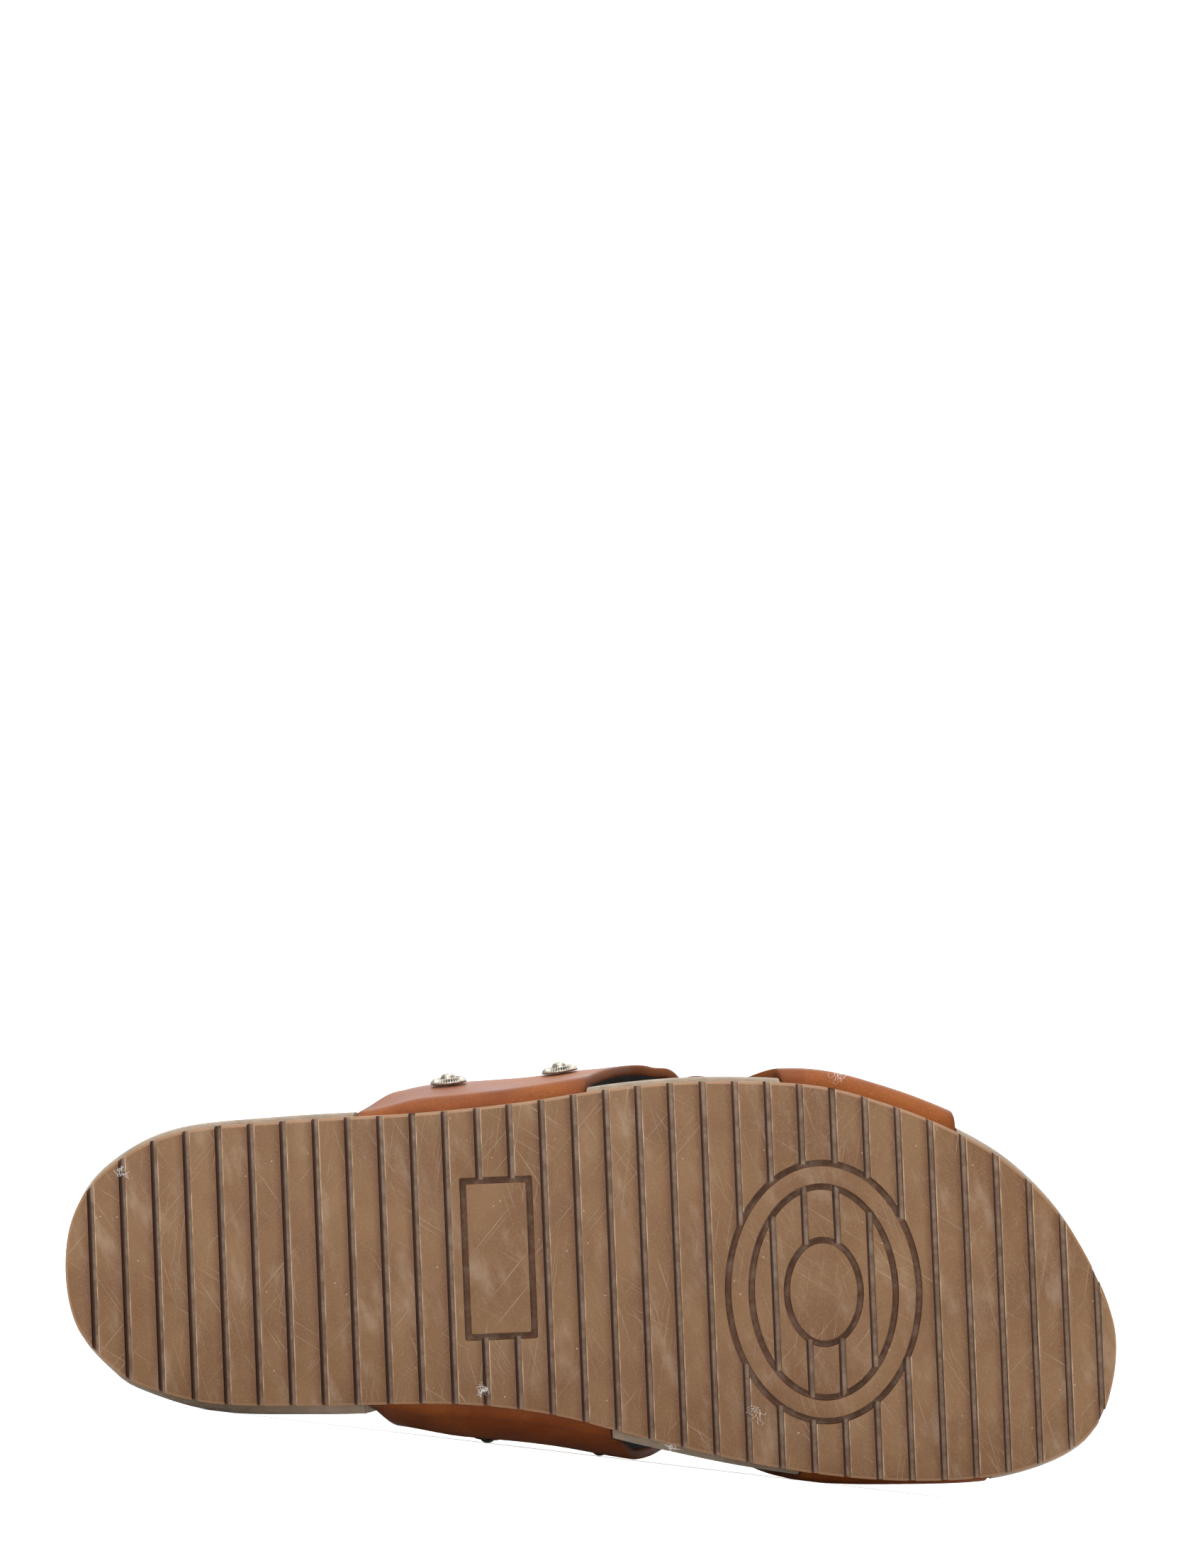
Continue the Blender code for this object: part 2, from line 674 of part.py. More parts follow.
def make_stud(name, side, along, height, root):
    x = along * SOLE_LENGTH
    here, normals = strap_normals(x)
    middle = len(here) // 2
    half = slice(7, middle) if side < 0 else slice(middle, len(here) - 7)
    order = np.argsort(here[half, 2])
    heights = here[half, 2][order]
    spot = np.array([np.interp(height * INSTEP_HEIGHT, heights, here[half, k][order]) for k in range(3)])
    normal = Vector([np.interp(height * INSTEP_HEIGHT, heights, normals[half, k][order]) for k in range(3)])
    normal.normalize()
    bm = bmesh.new()
    rings = []
    for radius, z in stud_profile()[:-1]:
        rings.append([bm.verts.new((radius * math.cos(a), radius * math.sin(a), z))
                      for a in (2 * math.pi * k / STUD_SEGMENTS for k in range(STUD_SEGMENTS))])
    tip = bm.verts.new((0.0, 0.0, stud_profile()[-1][1]))
    bm.faces.new(rings[0][::-1])
    for low, high in zip(rings, rings[1:]):
        for k in range(STUD_SEGMENTS):
            n = (k + 1) % STUD_SEGMENTS
            bm.faces.new((low[k], low[n], high[n], high[k]))
    for k in range(STUD_SEGMENTS):
        bm.faces.new((rings[-1][k], rings[-1][(k + 1) % STUD_SEGMENTS], tip))
    item = new_object(name, bm, "stud", root)
    item.rotation_mode = "QUATERNION"
    item.rotation_quaternion = Vector((0.0, 0.0, 1.0)).rotation_difference(normal)
    item.location = Vector(spot) + normal * (STRAP_THICKNESS + 1.5 * CLEARANCE)
    return item


def mass_centre(items):
    """The balance point of closed meshes, from the volumes under their triangles."""
    total = 0.0
    moment = Vector((0.0, 0.0, 0.0))
    for item in items:
        density = DENSITY[item.name.split("_")[0]]
        bm = bmesh.new()
        bm.from_mesh(item.data)
        bm.transform(item.matrix_world)
        bmesh.ops.triangulate(bm, faces=bm.faces[:])
        for face in bm.faces:
            a, b, c = (v.co for v in face.verts)
            mass = density * a.dot(b.cross(c)) / 6.0
            total += mass
            moment += mass * (a + b + c) / 4.0
        bm.free()
    return moment / total


def lying_matrix(items):
    """Turn the shoe so that it rests on its big toe side, and put its origin under its middle.

    The shoe rests on the face of its convex hull that its balance point is over.
    """
    bpy.context.view_layer.update()
    corners = [item.matrix_world @ v.co for item in items for v in item.data.vertices]
    centre = mass_centre(items)
    hull = bmesh.new()
    for corner in corners:
        hull.verts.new(corner)
    bmesh.ops.convex_hull(hull, input=hull.verts[:])
    bmesh.ops.triangulate(hull, faces=hull.faces[:])
    down = None
    for face in hull.faces:
        a, b, c = (v.co for v in face.verts)
        normal = (b - a).cross(c - a)
        if normal.length == 0.0:
            continue
        normal.normalize()
        if normal.dot(a - centre) < 0:
            normal = -normal
        foot = centre + normal * normal.dot(a - centre)
        if intersect_point_tri(foot, a, b, c) and (down is None or normal.y > down.y):
            down = normal
    hull.free()
    up = -down
    ahead = Vector((1.0, 0.0, 0.0))
    ahead = (ahead - up * ahead.dot(up)).normalized()
    turn = Matrix((ahead, up.cross(ahead), up))
    turned = [turn @ corner for corner in corners]
    low = Vector([min(spot[k] for spot in turned) for k in range(3)])
    high = Vector([max(spot[k] for spot in turned) for k in range(3)])
    middle = (low + high) / 2
    return Matrix.Translation((-middle.x, -middle.y, -low.z)) @ turn.to_4x4()


def main():
    for item in list(bpy.data.objects):
        bpy.data.objects.remove(item, do_unlink=True)
    root = bpy.data.objects.new("shoe", None)
    bpy.context.scene.collection.objects.link(root)

    midsole = make_midsole(root)
    items = [make_outsole(root), midsole, make_insole(root), make_upper(root)]
    cut_leg_recesses(midsole, root)
    for name, side, along, height in STUDS:
        items.append(make_stud(name, side, along, height, root))
    root.matrix_world = lying_matrix(items)
    for item in items:
        item.data.shade_smooth()
        item.data.set_sharp_from_angle(angle=math.radians(35))


main()
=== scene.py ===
"""Looks for the leather slide sandal: a right shoe lying on its big toe side, its ribbed sole to the camera.

Every piece is built in the shoe's own frame, X from heel to toe, Y to the big toe side and Z up from the
tread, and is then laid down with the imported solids. Lengths are in metres.
"""
import json
import math
from collections import namedtuple

import bmesh
import bpy
import numpy as np
from mathutils import Matrix, Vector


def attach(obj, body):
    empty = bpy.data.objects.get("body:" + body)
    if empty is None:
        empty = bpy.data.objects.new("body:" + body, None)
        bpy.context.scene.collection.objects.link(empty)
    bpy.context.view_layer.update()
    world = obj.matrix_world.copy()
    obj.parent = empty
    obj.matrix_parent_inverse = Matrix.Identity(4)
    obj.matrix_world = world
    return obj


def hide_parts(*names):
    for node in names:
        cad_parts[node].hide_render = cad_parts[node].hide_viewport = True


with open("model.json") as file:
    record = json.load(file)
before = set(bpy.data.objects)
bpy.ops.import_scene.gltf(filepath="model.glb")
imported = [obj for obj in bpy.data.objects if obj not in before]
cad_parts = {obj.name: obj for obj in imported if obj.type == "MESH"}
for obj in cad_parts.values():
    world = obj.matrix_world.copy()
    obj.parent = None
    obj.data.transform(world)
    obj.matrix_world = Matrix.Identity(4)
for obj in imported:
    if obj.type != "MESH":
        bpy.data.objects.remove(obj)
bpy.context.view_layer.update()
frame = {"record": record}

# Sole
SOLE_LENGTH = 0.280
HEEL_WIDTH = 0.0757
BALL_WIDTH = 0.1042
OUTSOLE_THICKNESS = 0.0060
HEEL_STACK = 0.0300
FOREFOOT_STACK = 0.0225
TOE_SPRING = 0.0045
OUTSOLE_EDGE = 0.0008
CLEARANCE = 0.0003

# Tread
RIB_PITCH = 0.00864
FIRST_GROOVE = 0.0074
GROOVE_WIDTH = 0.0018
GROOVE_DEPTH = 0.0026
RING_GROOVE_WIDTH = 0.0017
RING_DEPTH_STEP = 0.0002
RIB_ROUNDING = 0.00022
PAD_LENGTH = 0.0528
PAD_WIDTH = 0.0705
PAD_BAND = 0.0080
PAD_CORE_LENGTH = 0.0180
PAD_CORE_WIDTH = 0.0260
PANEL_LENGTH = 0.0160
PANEL_WIDTH = 0.0400
PANEL_CORNER = 0.0004
PANEL_POWER = 12.0
OVAL_POWER = 2.0

# Midsole and insole
MIDSOLE_SIDE_BULGE = 0.0012
MIDSOLE_ARCH_BULGE = 0.0029
MIDSOLE_LEAN = 0.0014
MIDSOLE_EDGE = 0.0010
RIM_STEP = 0.0004
HEEL_CUP_DEPTH = 0.0050
FOREFOOT_DIP = 0.0022
ARCH_RISE = 0.0035
INSOLE_THICKNESS = 0.0020
INSOLE_MARGIN = 0.0042
INSOLE_EDGE = 0.0007

# Straps
STRAP_THICKNESS = 0.0028
STRAP_WIDTH = 0.0600
INSTEP_HEIGHT = 0.0600
BALL_HEIGHT = 0.0425
TUCK_LENGTH = 0.0060
FOLD_RADIUS = 0.0022
LAP_RUN = 0.0130
LAP_GAP = 0.0001
EDGE_ROUNDING = 0.35 * STRAP_THICKNESS / 2
EDGE_TUCK = 0.0030
EDGE_TUCK_RUN = 0.0190
EDGE_TUCK_TOP = 0.0360
RECESS_THICKNESSES = 2.2

# Studs
STUD_DIAMETER = 0.0101
STUD_PLATE = 0.0008
STUD_HEIGHT = 0.0030
BALL_DIAMETER = 0.0035
FLUTES = 38
FLUTE_DEPTH = 0.00028

# How fine the meshes are
SIDE_POINTS = 110
CURVE_STEPS = 24
CAP_COLUMNS = 40
UNSEEN_COLUMNS = 8
STRAP_COLUMNS = 44
EDGE_STEPS = 6
RECESS_COLUMNS = 24
LEG_ROWS = 38
FOLD_STEPS = 8
WALL_STEPS = 20
CROWN_STEPS = 48
FLUTE_STEPS = 6
ROUNDING_SHARES = (0.25, 0.5, 0.75, 1.0)

# The sole's outline, once round from the heel along the little toe side: share of the sole's length,
# share of its width there, positive on the big toe side.
OUTLINE = (
    (0.000, 0.000), (0.010, -0.203), (0.043, -0.357), (0.107, -0.472), (0.214, -0.501), (0.339, -0.509),
    (0.436, -0.494), (0.536, -0.456), (0.621, -0.425), (0.718, -0.401), (0.786, -0.348), (0.846, -0.278),
    (0.893, -0.202), (0.929, -0.115), (0.957, -0.020), (0.981, 0.101), (0.995, 0.202), (1.000, 0.288),
    (0.995, 0.393), (0.979, 0.498), (0.946, 0.569), (0.889, 0.614), (0.821, 0.624), (0.736, 0.605),
    (0.643, 0.557), (0.546, 0.525), (0.457, 0.514), (0.364, 0.518), (0.236, 0.506), (0.136, 0.483),
    (0.071, 0.413), (0.043, 0.347), (0.010, 0.202),
)
TOE_ROW = 17
WAIST_START = 0.35
WAIST_RUN = 0.30
SPRING_START = 0.62
PAD_CENTRE = (0.7207, 0.1290)
PANEL_CENTRE = (0.4125, 0.0090)

# Where the sole's height, footbed and arch change: start and run, as shares of the sole's length
STACK_DROP = (0.22, 0.45)
ARCH_UP = (0.22, 0.16)
ARCH_DOWN = (0.66, -0.20)
CUP_TO_FOREFOOT = (0.20, 0.35)
DIP_UP = (0.0, 0.14)
DIP_DOWN = (1.0, -0.10)
BULGE_UP = (0.0, 0.20)
BULGE_DOWN = (0.75, -0.30)

# The straps' inside: station along the sole, then for each side how far it stands out at the fold and at
# its widest, as shares of the leather's thickness, and the widest point's height and the crown.
SECTION_COLUMNS = ("along", "lateral_base", "lateral_bulge", "lateral_widest",
                   "medial_base", "medial_bulge", "medial_widest", "crown")
SECTIONS = (
    (0.27, 0.40, 0.90, 0.52, 0.40, 1.50, 0.20, 1.50),
    (0.36, 0.50, 1.79, 0.55, 0.57, 2.72, 0.20, 1.29),
    (0.45, 0.50, 1.50, 0.55, 0.50, 2.62, 0.19, 1.07),
    (0.54, 0.54, 1.14, 0.46, 0.21, 1.80, 0.17, 0.72),
    (0.62, 0.61, 0.71, 0.26, 0.07, 0.50, 0.20, 0.34),
    (0.70, 0.64, 0.68, 0.16, 0.18, 0.25, 0.13, -0.02),
    (0.80, 0.68, 0.72, 0.10, -0.32, -0.25, 0.08, -0.46),
    (0.90, 0.79, 0.80, 0.08, -0.20, -0.14, 0.07, -0.85),
)
CROWN_SHIFT = 0.060
LATERAL_FULLNESS = 2.6
MEDIAL_FULLNESS = 2.2

# Where each strap's legs meet the sole: centres as shares of the sole's length, widths of the strap's.
Strap = namedtuple("Strap", "name lateral_centre lateral_width medial_centre medial_width")
STRAPS = (
    Strap("over", 0.3886, 1.050, 0.7864, 0.847),
    Strap("under", 0.7727, 0.775, 0.3946, 1.107),
)

# Studs: name, side, share of the sole's length, share of the instep height above the floor.
STUDS = (
    ("stud_lateral_rear", -1, 0.369, 0.50),
    ("stud_lateral_front", -1, 0.479, 0.50),
    ("stud_medial_rear", 1, 0.394, 0.63),
    ("stud_medial_front", 1, 0.505, 0.63),
)

# Soft troughs and ridges of the straps, placed one by one. along is a share of the sole's length.
Press = namedtuple("Press", "along side height reach_along reach_up depth")
PRESSES = [Press(*row) for row in (
    (0.658, -1, 0.042, 0.0135, 0.020, 0.0050),
    (0.660, -1, 0.025, 0.0095, 0.012, 0.0032),
    (0.400, -1, 0.052, 0.008, 0.012, 0.0008),
    (0.450, -1, 0.056, 0.007, 0.015, 0.0010),
    (0.520, -1, 0.050, 0.006, 0.014, 0.0009),
    (0.560, -1, 0.060, 0.006, 0.012, -0.0006),
    (0.300, -1, 0.040, 0.010, 0.008, 0.0006),
    (0.770, -1, 0.038, 0.006, 0.010, 0.0009),
    (0.830, -1, 0.034, 0.006, 0.010, 0.0006),
    (0.420, 1, 0.054, 0.007, 0.014, 0.0009),
    (0.500, 1, 0.058, 0.007, 0.012, 0.0009),
    (0.350, 1, 0.036, 0.008, 0.010, 0.0006),
    (0.460, 1, 0.048, 0.005, 0.010, -0.0004),
    (0.780, 1, 0.040, 0.006, 0.012, 0.0009),
)]

# Where the foot has pressed the sock: share of the length, side, both reaches as shares, and depth
FOOT_MARKS = (
    (0.14, 0.0, 0.10, 0.62, 0.0007),
    (0.70, 0.25, 0.09, 0.62, 0.0006),
    (0.905, 0.52, 0.05, 0.26, 0.0006),
)

# Where the two rest faces of the tread lie in the shoe's frame
HEEL_SPOT = (FIRST_GROOVE + 3.5 * RIB_PITCH, 0.0)
WAIST_SPOT = (FIRST_GROOVE + 17.5 * RIB_PITCH, 0.005)


def shoe_matrix():
    """The lying shoe's place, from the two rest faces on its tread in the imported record."""
    mounts = {m["name"]: m for m in frame["record"]["mounts"]}
    heel = Vector(mounts["sole_heel"]["pos_m"])
    waist = Vector(mounts["sole_waist"]["pos_m"])
    up = -Vector(mounts["sole_heel"]["axis"]).normalized()
    onward = waist - heel
    onward = (onward - up * onward.dot(up)).normalized()
    turn = math.atan2(WAIST_SPOT[1] - HEEL_SPOT[1], WAIST_SPOT[0] - HEEL_SPOT[0])
    side = up.cross(onward)
    ahead = onward * math.cos(turn) - side * math.sin(turn)
    left = up.cross(ahead)
    turned = Matrix((ahead, left, up)).transposed().to_4x4()
    return Matrix.Translation(heel - turned @ Vector((*HEEL_SPOT, 0.0))) @ turned


SHOE = shoe_matrix()


def smooth(share):
    share = min(max(share, 0.0), 1.0)
    return share * share * (3.0 - 2.0 * share)


def blend(low, high, share):
    return low + (high - low) * share


def ease(along, start, run):
    """From 0 at the start to 1 a run further on. A negative run goes the other way."""
    return smooth((along - start) / run)


def width_at(along):
    return blend(HEEL_WIDTH, BALL_WIDTH, ease(along, WAIST_START, WAIST_RUN))


def rise(x):
    """How far the toe spring lifts the sole."""
    share = max(x / SOLE_LENGTH - SPRING_START, 0.0) / (1.0 - SPRING_START)
    return TOE_SPRING * share * share


def catmull_rom(points, steps):
    curve = []
    for a, b, c, d in zip(points, points[1:], points[2:], points[3:]):
        for step in range(steps):
            t = step / steps
            curve.append(0.5 * (2 * b + (c - a) * t + (2 * a - 5 * b + 4 * c - d) * t * t
                                + (3 * b - a - 3 * c + d) * t * t * t))
    curve.append(points[-2])
    return np.array(curve)


def lengths_along(curve):
    return np.concatenate(([0.0], np.cumsum(np.linalg.norm(np.diff(curve, axis=0), axis=1))))


def spread(curve, shares):
    """Points at the given shares of a curve's length."""
    lengths = lengths_along(curve)
    wanted = np.asarray(shares) * lengths[-1]
    return np.column_stack([np.interp(wanted, lengths, curve[:, k]) for k in range(curve.shape[1])])


def make_outline():
    """The sole's outline and its outward normals, its points closer together at heel and toe."""
    rows = [np.array((along * SOLE_LENGTH, across * width_at(along))) for along, across in OUTLINE]
    count = len(rows)
    steps = np.arange(SIDE_POINTS) / SIDE_POINTS
    shares = steps - 0.35 * np.sin(2 * math.pi * steps) / (2 * math.pi)
    halves = []
    for first, last in ((0, TOE_ROW), (TOE_ROW, count)):
        loop = [rows[k % count] for k in range(first - 1, last + 2)]
        halves.append(spread(catmull_rom(loop, CURVE_STEPS), shares))
    points = np.vstack(halves)
    tangents = np.roll(points, -1, axis=0) - np.roll(points, 1, axis=0)
    tangents /= np.linalg.norm(tangents, axis=1)[:, None]
    normals = np.column_stack((-tangents[:, 1], tangents[:, 0]))
    return points, -normals if normals[0, 0] > 0 else normals


POINTS, NORMALS = make_outline()


def edge_at(x, side):
    """How far the sole's edge stands out on a side, and how squarely it faces that side."""
    half = slice(0, SIDE_POINTS + 1) if side < 0 else slice(SIDE_POINTS, 2 * SIDE_POINTS)
    xs, ys, ns = POINTS[half, 0], POINTS[half, 1], NORMALS[half, 1]
    order = np.argsort(xs)
    return side * np.interp(x, xs[order], ys[order]), abs(np.interp(x, xs[order], ns[order]))


# Building blocks

def put(name, data):
    thing = bpy.data.objects.new(name, data)
    bpy.context.scene.collection.objects.link(thing)
    return thing


def link(name, bm, materials):
    mesh = bpy.data.meshes.new(name)
    bm.to_mesh(mesh)
    bm.free()
    for item in materials:
        mesh.materials.append(item)
    return put(name, mesh)


def show(piece, node, angle=35.0):
    """Lay a finished piece down with the shoe and give it to the frame."""
    piece.data.transform(SHOE)
    piece.data.shade_smooth()
    piece.data.set_sharp_from_angle(angle=math.radians(angle))
    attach(piece, "root")
    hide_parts(node)


def face_outwards(bm):
    bmesh.ops.recalc_face_normals(bm, faces=bm.faces[:])


def add_ring(bm, offsets, heights):
    """A ring of points round the sole, each so far outside its outline."""
    spots = POINTS + NORMALS * np.asarray(offsets)[:, None]
    return [bm.verts.new((x, y, z)) for (x, y), z in zip(spots, heights)]


def add_walls(bm, rings):
    for low, high in zip(rings, rings[1:]):
        for k in range(len(low)):
            n = (k + 1) % len(low)
            bm.faces.new((low[k], high[k], high[n], low[n]))


def add_tube(bm, rings):
    """Faces round a row of rings, wound the other way, and given back."""
    faces = []
    for low, high in zip(rings, rings[1:]):
        for k in range(len(low)):
            n = (k + 1) % len(low)
            faces.append(bm.faces.new((low[k], low[n], high[n], high[k])))
    return faces


def add_cap(bm, ring, columns, height, upward):
    """Close a ring with rows of faces that run from side to side at the given height."""
    rows = []
    for k in range(1, SIDE_POINTS):
        left, right = ring[k], ring[-k]
        row = [left]
        for c in range(1, columns):
            share = c / columns
            spot = left.co.lerp(right.co, share)
            spot.z = height(spot.x, 2.0 * share - 1.0)
            row.append(bm.verts.new(spot))
        rows.append(row + [right])

    def face(*corners):
        bm.faces.new(corners if upward else corners[:1] + corners[:0:-1])

    for c in range(columns):
        face(ring[0], rows[0][c], rows[0][c + 1])
        face(rows[-1][c], ring[SIDE_POINTS], rows[-1][c + 1])
        for low, high in zip(rows, rows[1:]):
            face(low[c], high[c], high[c + 1], low[c + 1])


def cut(piece, cutters):
    """Cut a piece by closed meshes and keep the result as its mesh."""
    for item in cutters:
        change = piece.modifiers.new("cut", "BOOLEAN")
        change.object = item
        change.operation = "DIFFERENCE"
        change.solver = "EXACT"
    bpy.context.view_layer.update()
    seen = piece.evaluated_get(bpy.context.evaluated_depsgraph_get())
    mesh = bpy.data.meshes.new_from_object(seen)
    piece.modifiers.clear()
    piece.data = mesh
    for item in cutters:
        bpy.data.objects.remove(item, do_unlink=True)


# Materials

class Nodes:
    """A short way to write a material's nodes. Patterns lie in the shoe's own frame and scale per metre."""

    def __init__(self, name):
        self.material = bpy.data.materials.new(name)
        self.material.use_nodes = True
        self.tree = self.material.node_tree
        self.shader = self.tree.nodes["Principled BSDF"]
        lying = self.add("ShaderNodeTexCoord", output="Object")
        pose = {"Vector": lying, "Location": SHOE.translation, "Rotation": SHOE.to_euler()}
        self.place = self.add("ShaderNodeMapping", pose, vector_type="TEXTURE")

    def add(self, kind, inputs=None, output=0, **settings):
        """Add a node, feed its inputs and give back one of its outputs."""
        node = self.tree.nodes.new(kind)
        for name, value in settings.items():
            setattr(node, name, value)
        for key, value in (inputs or {}).items():
            self.feed(node.inputs[key], value)
        return node.outputs[output]

    def feed(self, socket, value):
        if isinstance(value, bpy.types.NodeSocket):
            self.tree.links.new(value, socket)
        elif isinstance(value, tuple) and socket.type == "RGBA":
            socket.default_value = (*value, 1.0)
        else:
            socket.default_value = value

    def math(self, operation, a, b=0.0):
        return self.add("ShaderNodeMath", {0: a, 1: b}, operation=operation)

    def plus(self, a, b):
        return self.math("ADD", a, b)

    def times(self, a, b):
        return self.math("MULTIPLY", a, b)

    def most(self, a, b):
        return self.math("MAXIMUM", a, b)

    def stretch(self, scale, turn=0.0, shift=0.0):
        """The shoe's coordinates, turned about Z and then scaled."""
        turned = self.add("ShaderNodeMapping", {"Vector": self.place, "Rotation": (0.0, 0.0, turn)})
        change = {"Vector": turned, "Scale": scale, "Location": (shift, shift, shift)}
        return self.add("ShaderNodeMapping", change)

    def along(self, axis):
        return self.add("ShaderNodeSeparateXYZ", {0: self.place}, axis)

    def across_rib(self, shift):
        """Where a point lies between two grooves, from 0 to 1."""
        ribs = self.math("DIVIDE", self.math("SUBTRACT", self.along("X"), FIRST_GROOVE), RIB_PITCH)
        return self.math("FRACT", self.plus(ribs, shift))

    def height_above_tread(self):
        """How far a point lies from the tread's face, the toe spring taken off."""
        share = self.math("SUBTRACT", self.math("DIVIDE", self.along("X"), SOLE_LENGTH), SPRING_START)
        share = self.math("DIVIDE", self.most(share, 0.0), 1.0 - SPRING_START)
        spring = self.times(self.math("POWER", share, 2.0), TOE_SPRING)
        return self.math("SUBTRACT", self.along("Z"), spring)

    def noise(self, scale, detail=3.0, rough=0.5, vector=None, distortion=0.0):
        inputs = {"Scale": scale, "Detail": detail, "Roughness": rough, "Distortion": distortion}
        return self.add("ShaderNodeTexNoise", {"Vector": vector or self.place, **inputs})

    def cells(self, scale, feature="F1"):
        return self.add("ShaderNodeTexVoronoi", {"Vector": self.place, "Scale": scale}, feature=feature)

    def ramp(self, value, low, high, to_low=0.0, to_high=1.0):
        inputs = {"Value": value, "From Min": low, "From Max": high, "To Min": to_low, "To Max": to_high}
        return self.add("ShaderNodeMapRange", inputs, interpolation_type="SMOOTHSTEP")

    def mix(self, share, a, b):
        return self.add("ShaderNodeMix", {"Factor": share, 6: a, 7: b}, 2, data_type="RGBA")

    def mask(self, name):
        return self.add("ShaderNodeAttribute", output="Fac", attribute_name=name)

    def bump(self, height, strength, distance):
        return self.add("ShaderNodeBump", {"Height": height, "Strength": strength, "Distance": distance})

    def set(self, **values):
        for name, value in values.items():
            self.feed(self.shader.inputs[name.replace("_", " ")], value)


RUBBER = (0.124, 0.055, 0.018)
# Random tone, and painted light on one side of each rib
RUBBER_PALE = (0.166, 0.086, 0.035)
# Random tone in the ring grooves, and painted shade on the ribs and on the groove walls
RUBBER_WARM = (0.082, 0.029, 0.008)
# Painted shadow in the straight grooves
RUBBER_GROOVE_SHADOW = (0.048, 0.018, 0.007)
RUBBER_DUST = (0.36, 0.27, 0.19)
# Painted highlight line along the ribs
RUBBER_HIGHLIGHT = (0.42, 0.30, 0.20)
# Painted light on the tread's rounded edges
RUBBER_RIM_LIGHT = (0.30, 0.165, 0.085)
GROOVE_DUST = ((0.180, 0.110, 0.070), (0.290, 0.200, 0.140))
RUBBER_CUT = ((0.30, 0.17, 0.085), (0.42, 0.27, 0.16))
RUBBER_PARTS = ("gum_rib", "gum_plain", "gum_straight_groove", "gum_ring_groove", "gum_side")
RIB, PLAIN, STRAIGHT_GROOVE, RING_GROOVE, SIDE = range(len(RUBBER_PARTS))
KHAKI = ((0.235, 0.172, 0.116), (0.370, 0.292, 0.215))
SOCK = ((0.180, 0.120, 0.076), (0.270, 0.190, 0.125))
LEATHER = ((0.150, 0.033, 0.005), (0.240, 0.070, 0.013))
LEATHER_STREAK = (0.095, 0.020, 0.005)
LEATHER_PORE = (0.060, 0.013, 0.004)
LEATHER_FLECK = (0.42, 0.165, 0.055)
LEATHER_EDGE = (0.080, 0.026, 0.009)
LINING = ((0.012, 0.011, 0.011), (0.030, 0.028, 0.027))
NICKEL = ((0.30, 0.265, 0.215), (0.52, 0.475, 0.41))
# Darkening of the studs' hollows: antique patina and painted shade
NICKEL_HOLLOW_SHADE_AND_PATINA = (0.060, 0.048, 0.036)
LINT_WHITE = ((0.78, 0.75, 0.70), (0.92, 0.90, 0.88))
FLOOR_WHITE = (0.86, 0.86, 0.86)

# Sets of scratches: direction in radians, how many fit a metre along and across, shift, and how rare they are
SCRATCHES = (
    (1.30, 26.0, 2600.0, 3.1, 0.665),
    (1.75, 34.0, 3000.0, 7.7, 0.67),
    (1.02, 30.0, 2300.0, 1.9, 0.67),
    (-0.85, 28.0, 2500.0, 5.3, 0.68),
    (0.60, 38.0, 2800.0, 9.4, 0.685),
)


def scratches(n):
    """Thin scratches that run in a few directions, in patches."""
    found = 0.0
    for turn, along, across, shift, low in SCRATCHES:
        lines = n.noise(1.0, 1.0, 0.5, n.stretch((along, across, 1.0), -turn, shift))
        patch = n.ramp(n.noise(48.0, 2.0, 0.5, n.stretch((1.0, 1.0, 1.0), 0.0, shift)), 0.46, 0.62)
        found = n.most(found, n.times(n.ramp(lines, low, low + 0.06), patch))
    return found


def rubber_face(n, ribbed):
    """The tread's scuffed face: waxy brown, with painted shade in warmer brown towards one edge of each rib
    and painted light towards the other, a painted highlight line, painted light on rounded edges, haze and
    scratches.
    """
    cloud = n.noise(38.0, 4.0, 0.6)
    speckle = n.noise(1700.0, 2.0, 0.6)
    colour = n.mix(n.ramp(cloud, 0.33, 0.70), RUBBER, RUBBER_PALE)
    if ribbed:
        share = n.across_rib(0.0)
        # Painted shade: darker warm brown towards one edge of each rib
        colour = n.mix(n.ramp(share, 0.62, 0.92, 0.0, 0.75), colour, RUBBER_WARM)
        # Painted light: paler towards the rib's other edge
        colour = n.mix(n.ramp(share, 0.26, 0.11, 0.0, 0.5), colour, RUBBER_PALE)
        # A painted highlight line along one rounded edge of each rib, broken into patches by noise
        highlight_breakup = n.ramp(n.noise(140.0, 3.0, 0.6), 0.42, 0.62, 0.15, 0.9)
        colour = n.mix(n.times(n.ramp(share, 0.145, 0.120), highlight_breakup), colour, RUBBER_HIGHLIGHT)
    colour = n.mix(n.ramp(speckle, 0.45, 0.80, 0.0, 0.14), colour, RUBBER_DUST)
    marks = scratches(n)
    haze = n.ramp(n.noise(1.0, 5.0, 0.62, n.stretch((120.0, 45.0, 1.0), 0.25)), 0.50, 0.78, 0.0, 0.34)
    flecks = n.times(n.ramp(n.cells(330.0), 0.085, 0.045), n.ramp(n.noise(170.0, 1.0), 0.56, 0.60))
    pale = n.most(n.times(marks, 0.34), n.most(haze, flecks))
    colour = n.mix(pale, colour, RUBBER_DUST)
    # Painted light: paler amber on the tread's rounded edges, standing in for light through the gum
    rim = n.ramp(n.height_above_tread(), 0.00001, 0.00016, 0.0, 0.55)
    colour = n.mix(rim, colour, RUBBER_RIM_LIGHT)
    height = n.plus(n.times(speckle, 0.30), n.times(marks, -0.5))
    height = n.plus(height, n.times(cloud, 0.6))
    roughness = n.ramp(cloud, 0.3, 0.7, 0.42, 0.55)
    n.set(Base_Color=colour, Roughness=roughness, Normal=n.bump(height, 0.35, 0.0002))


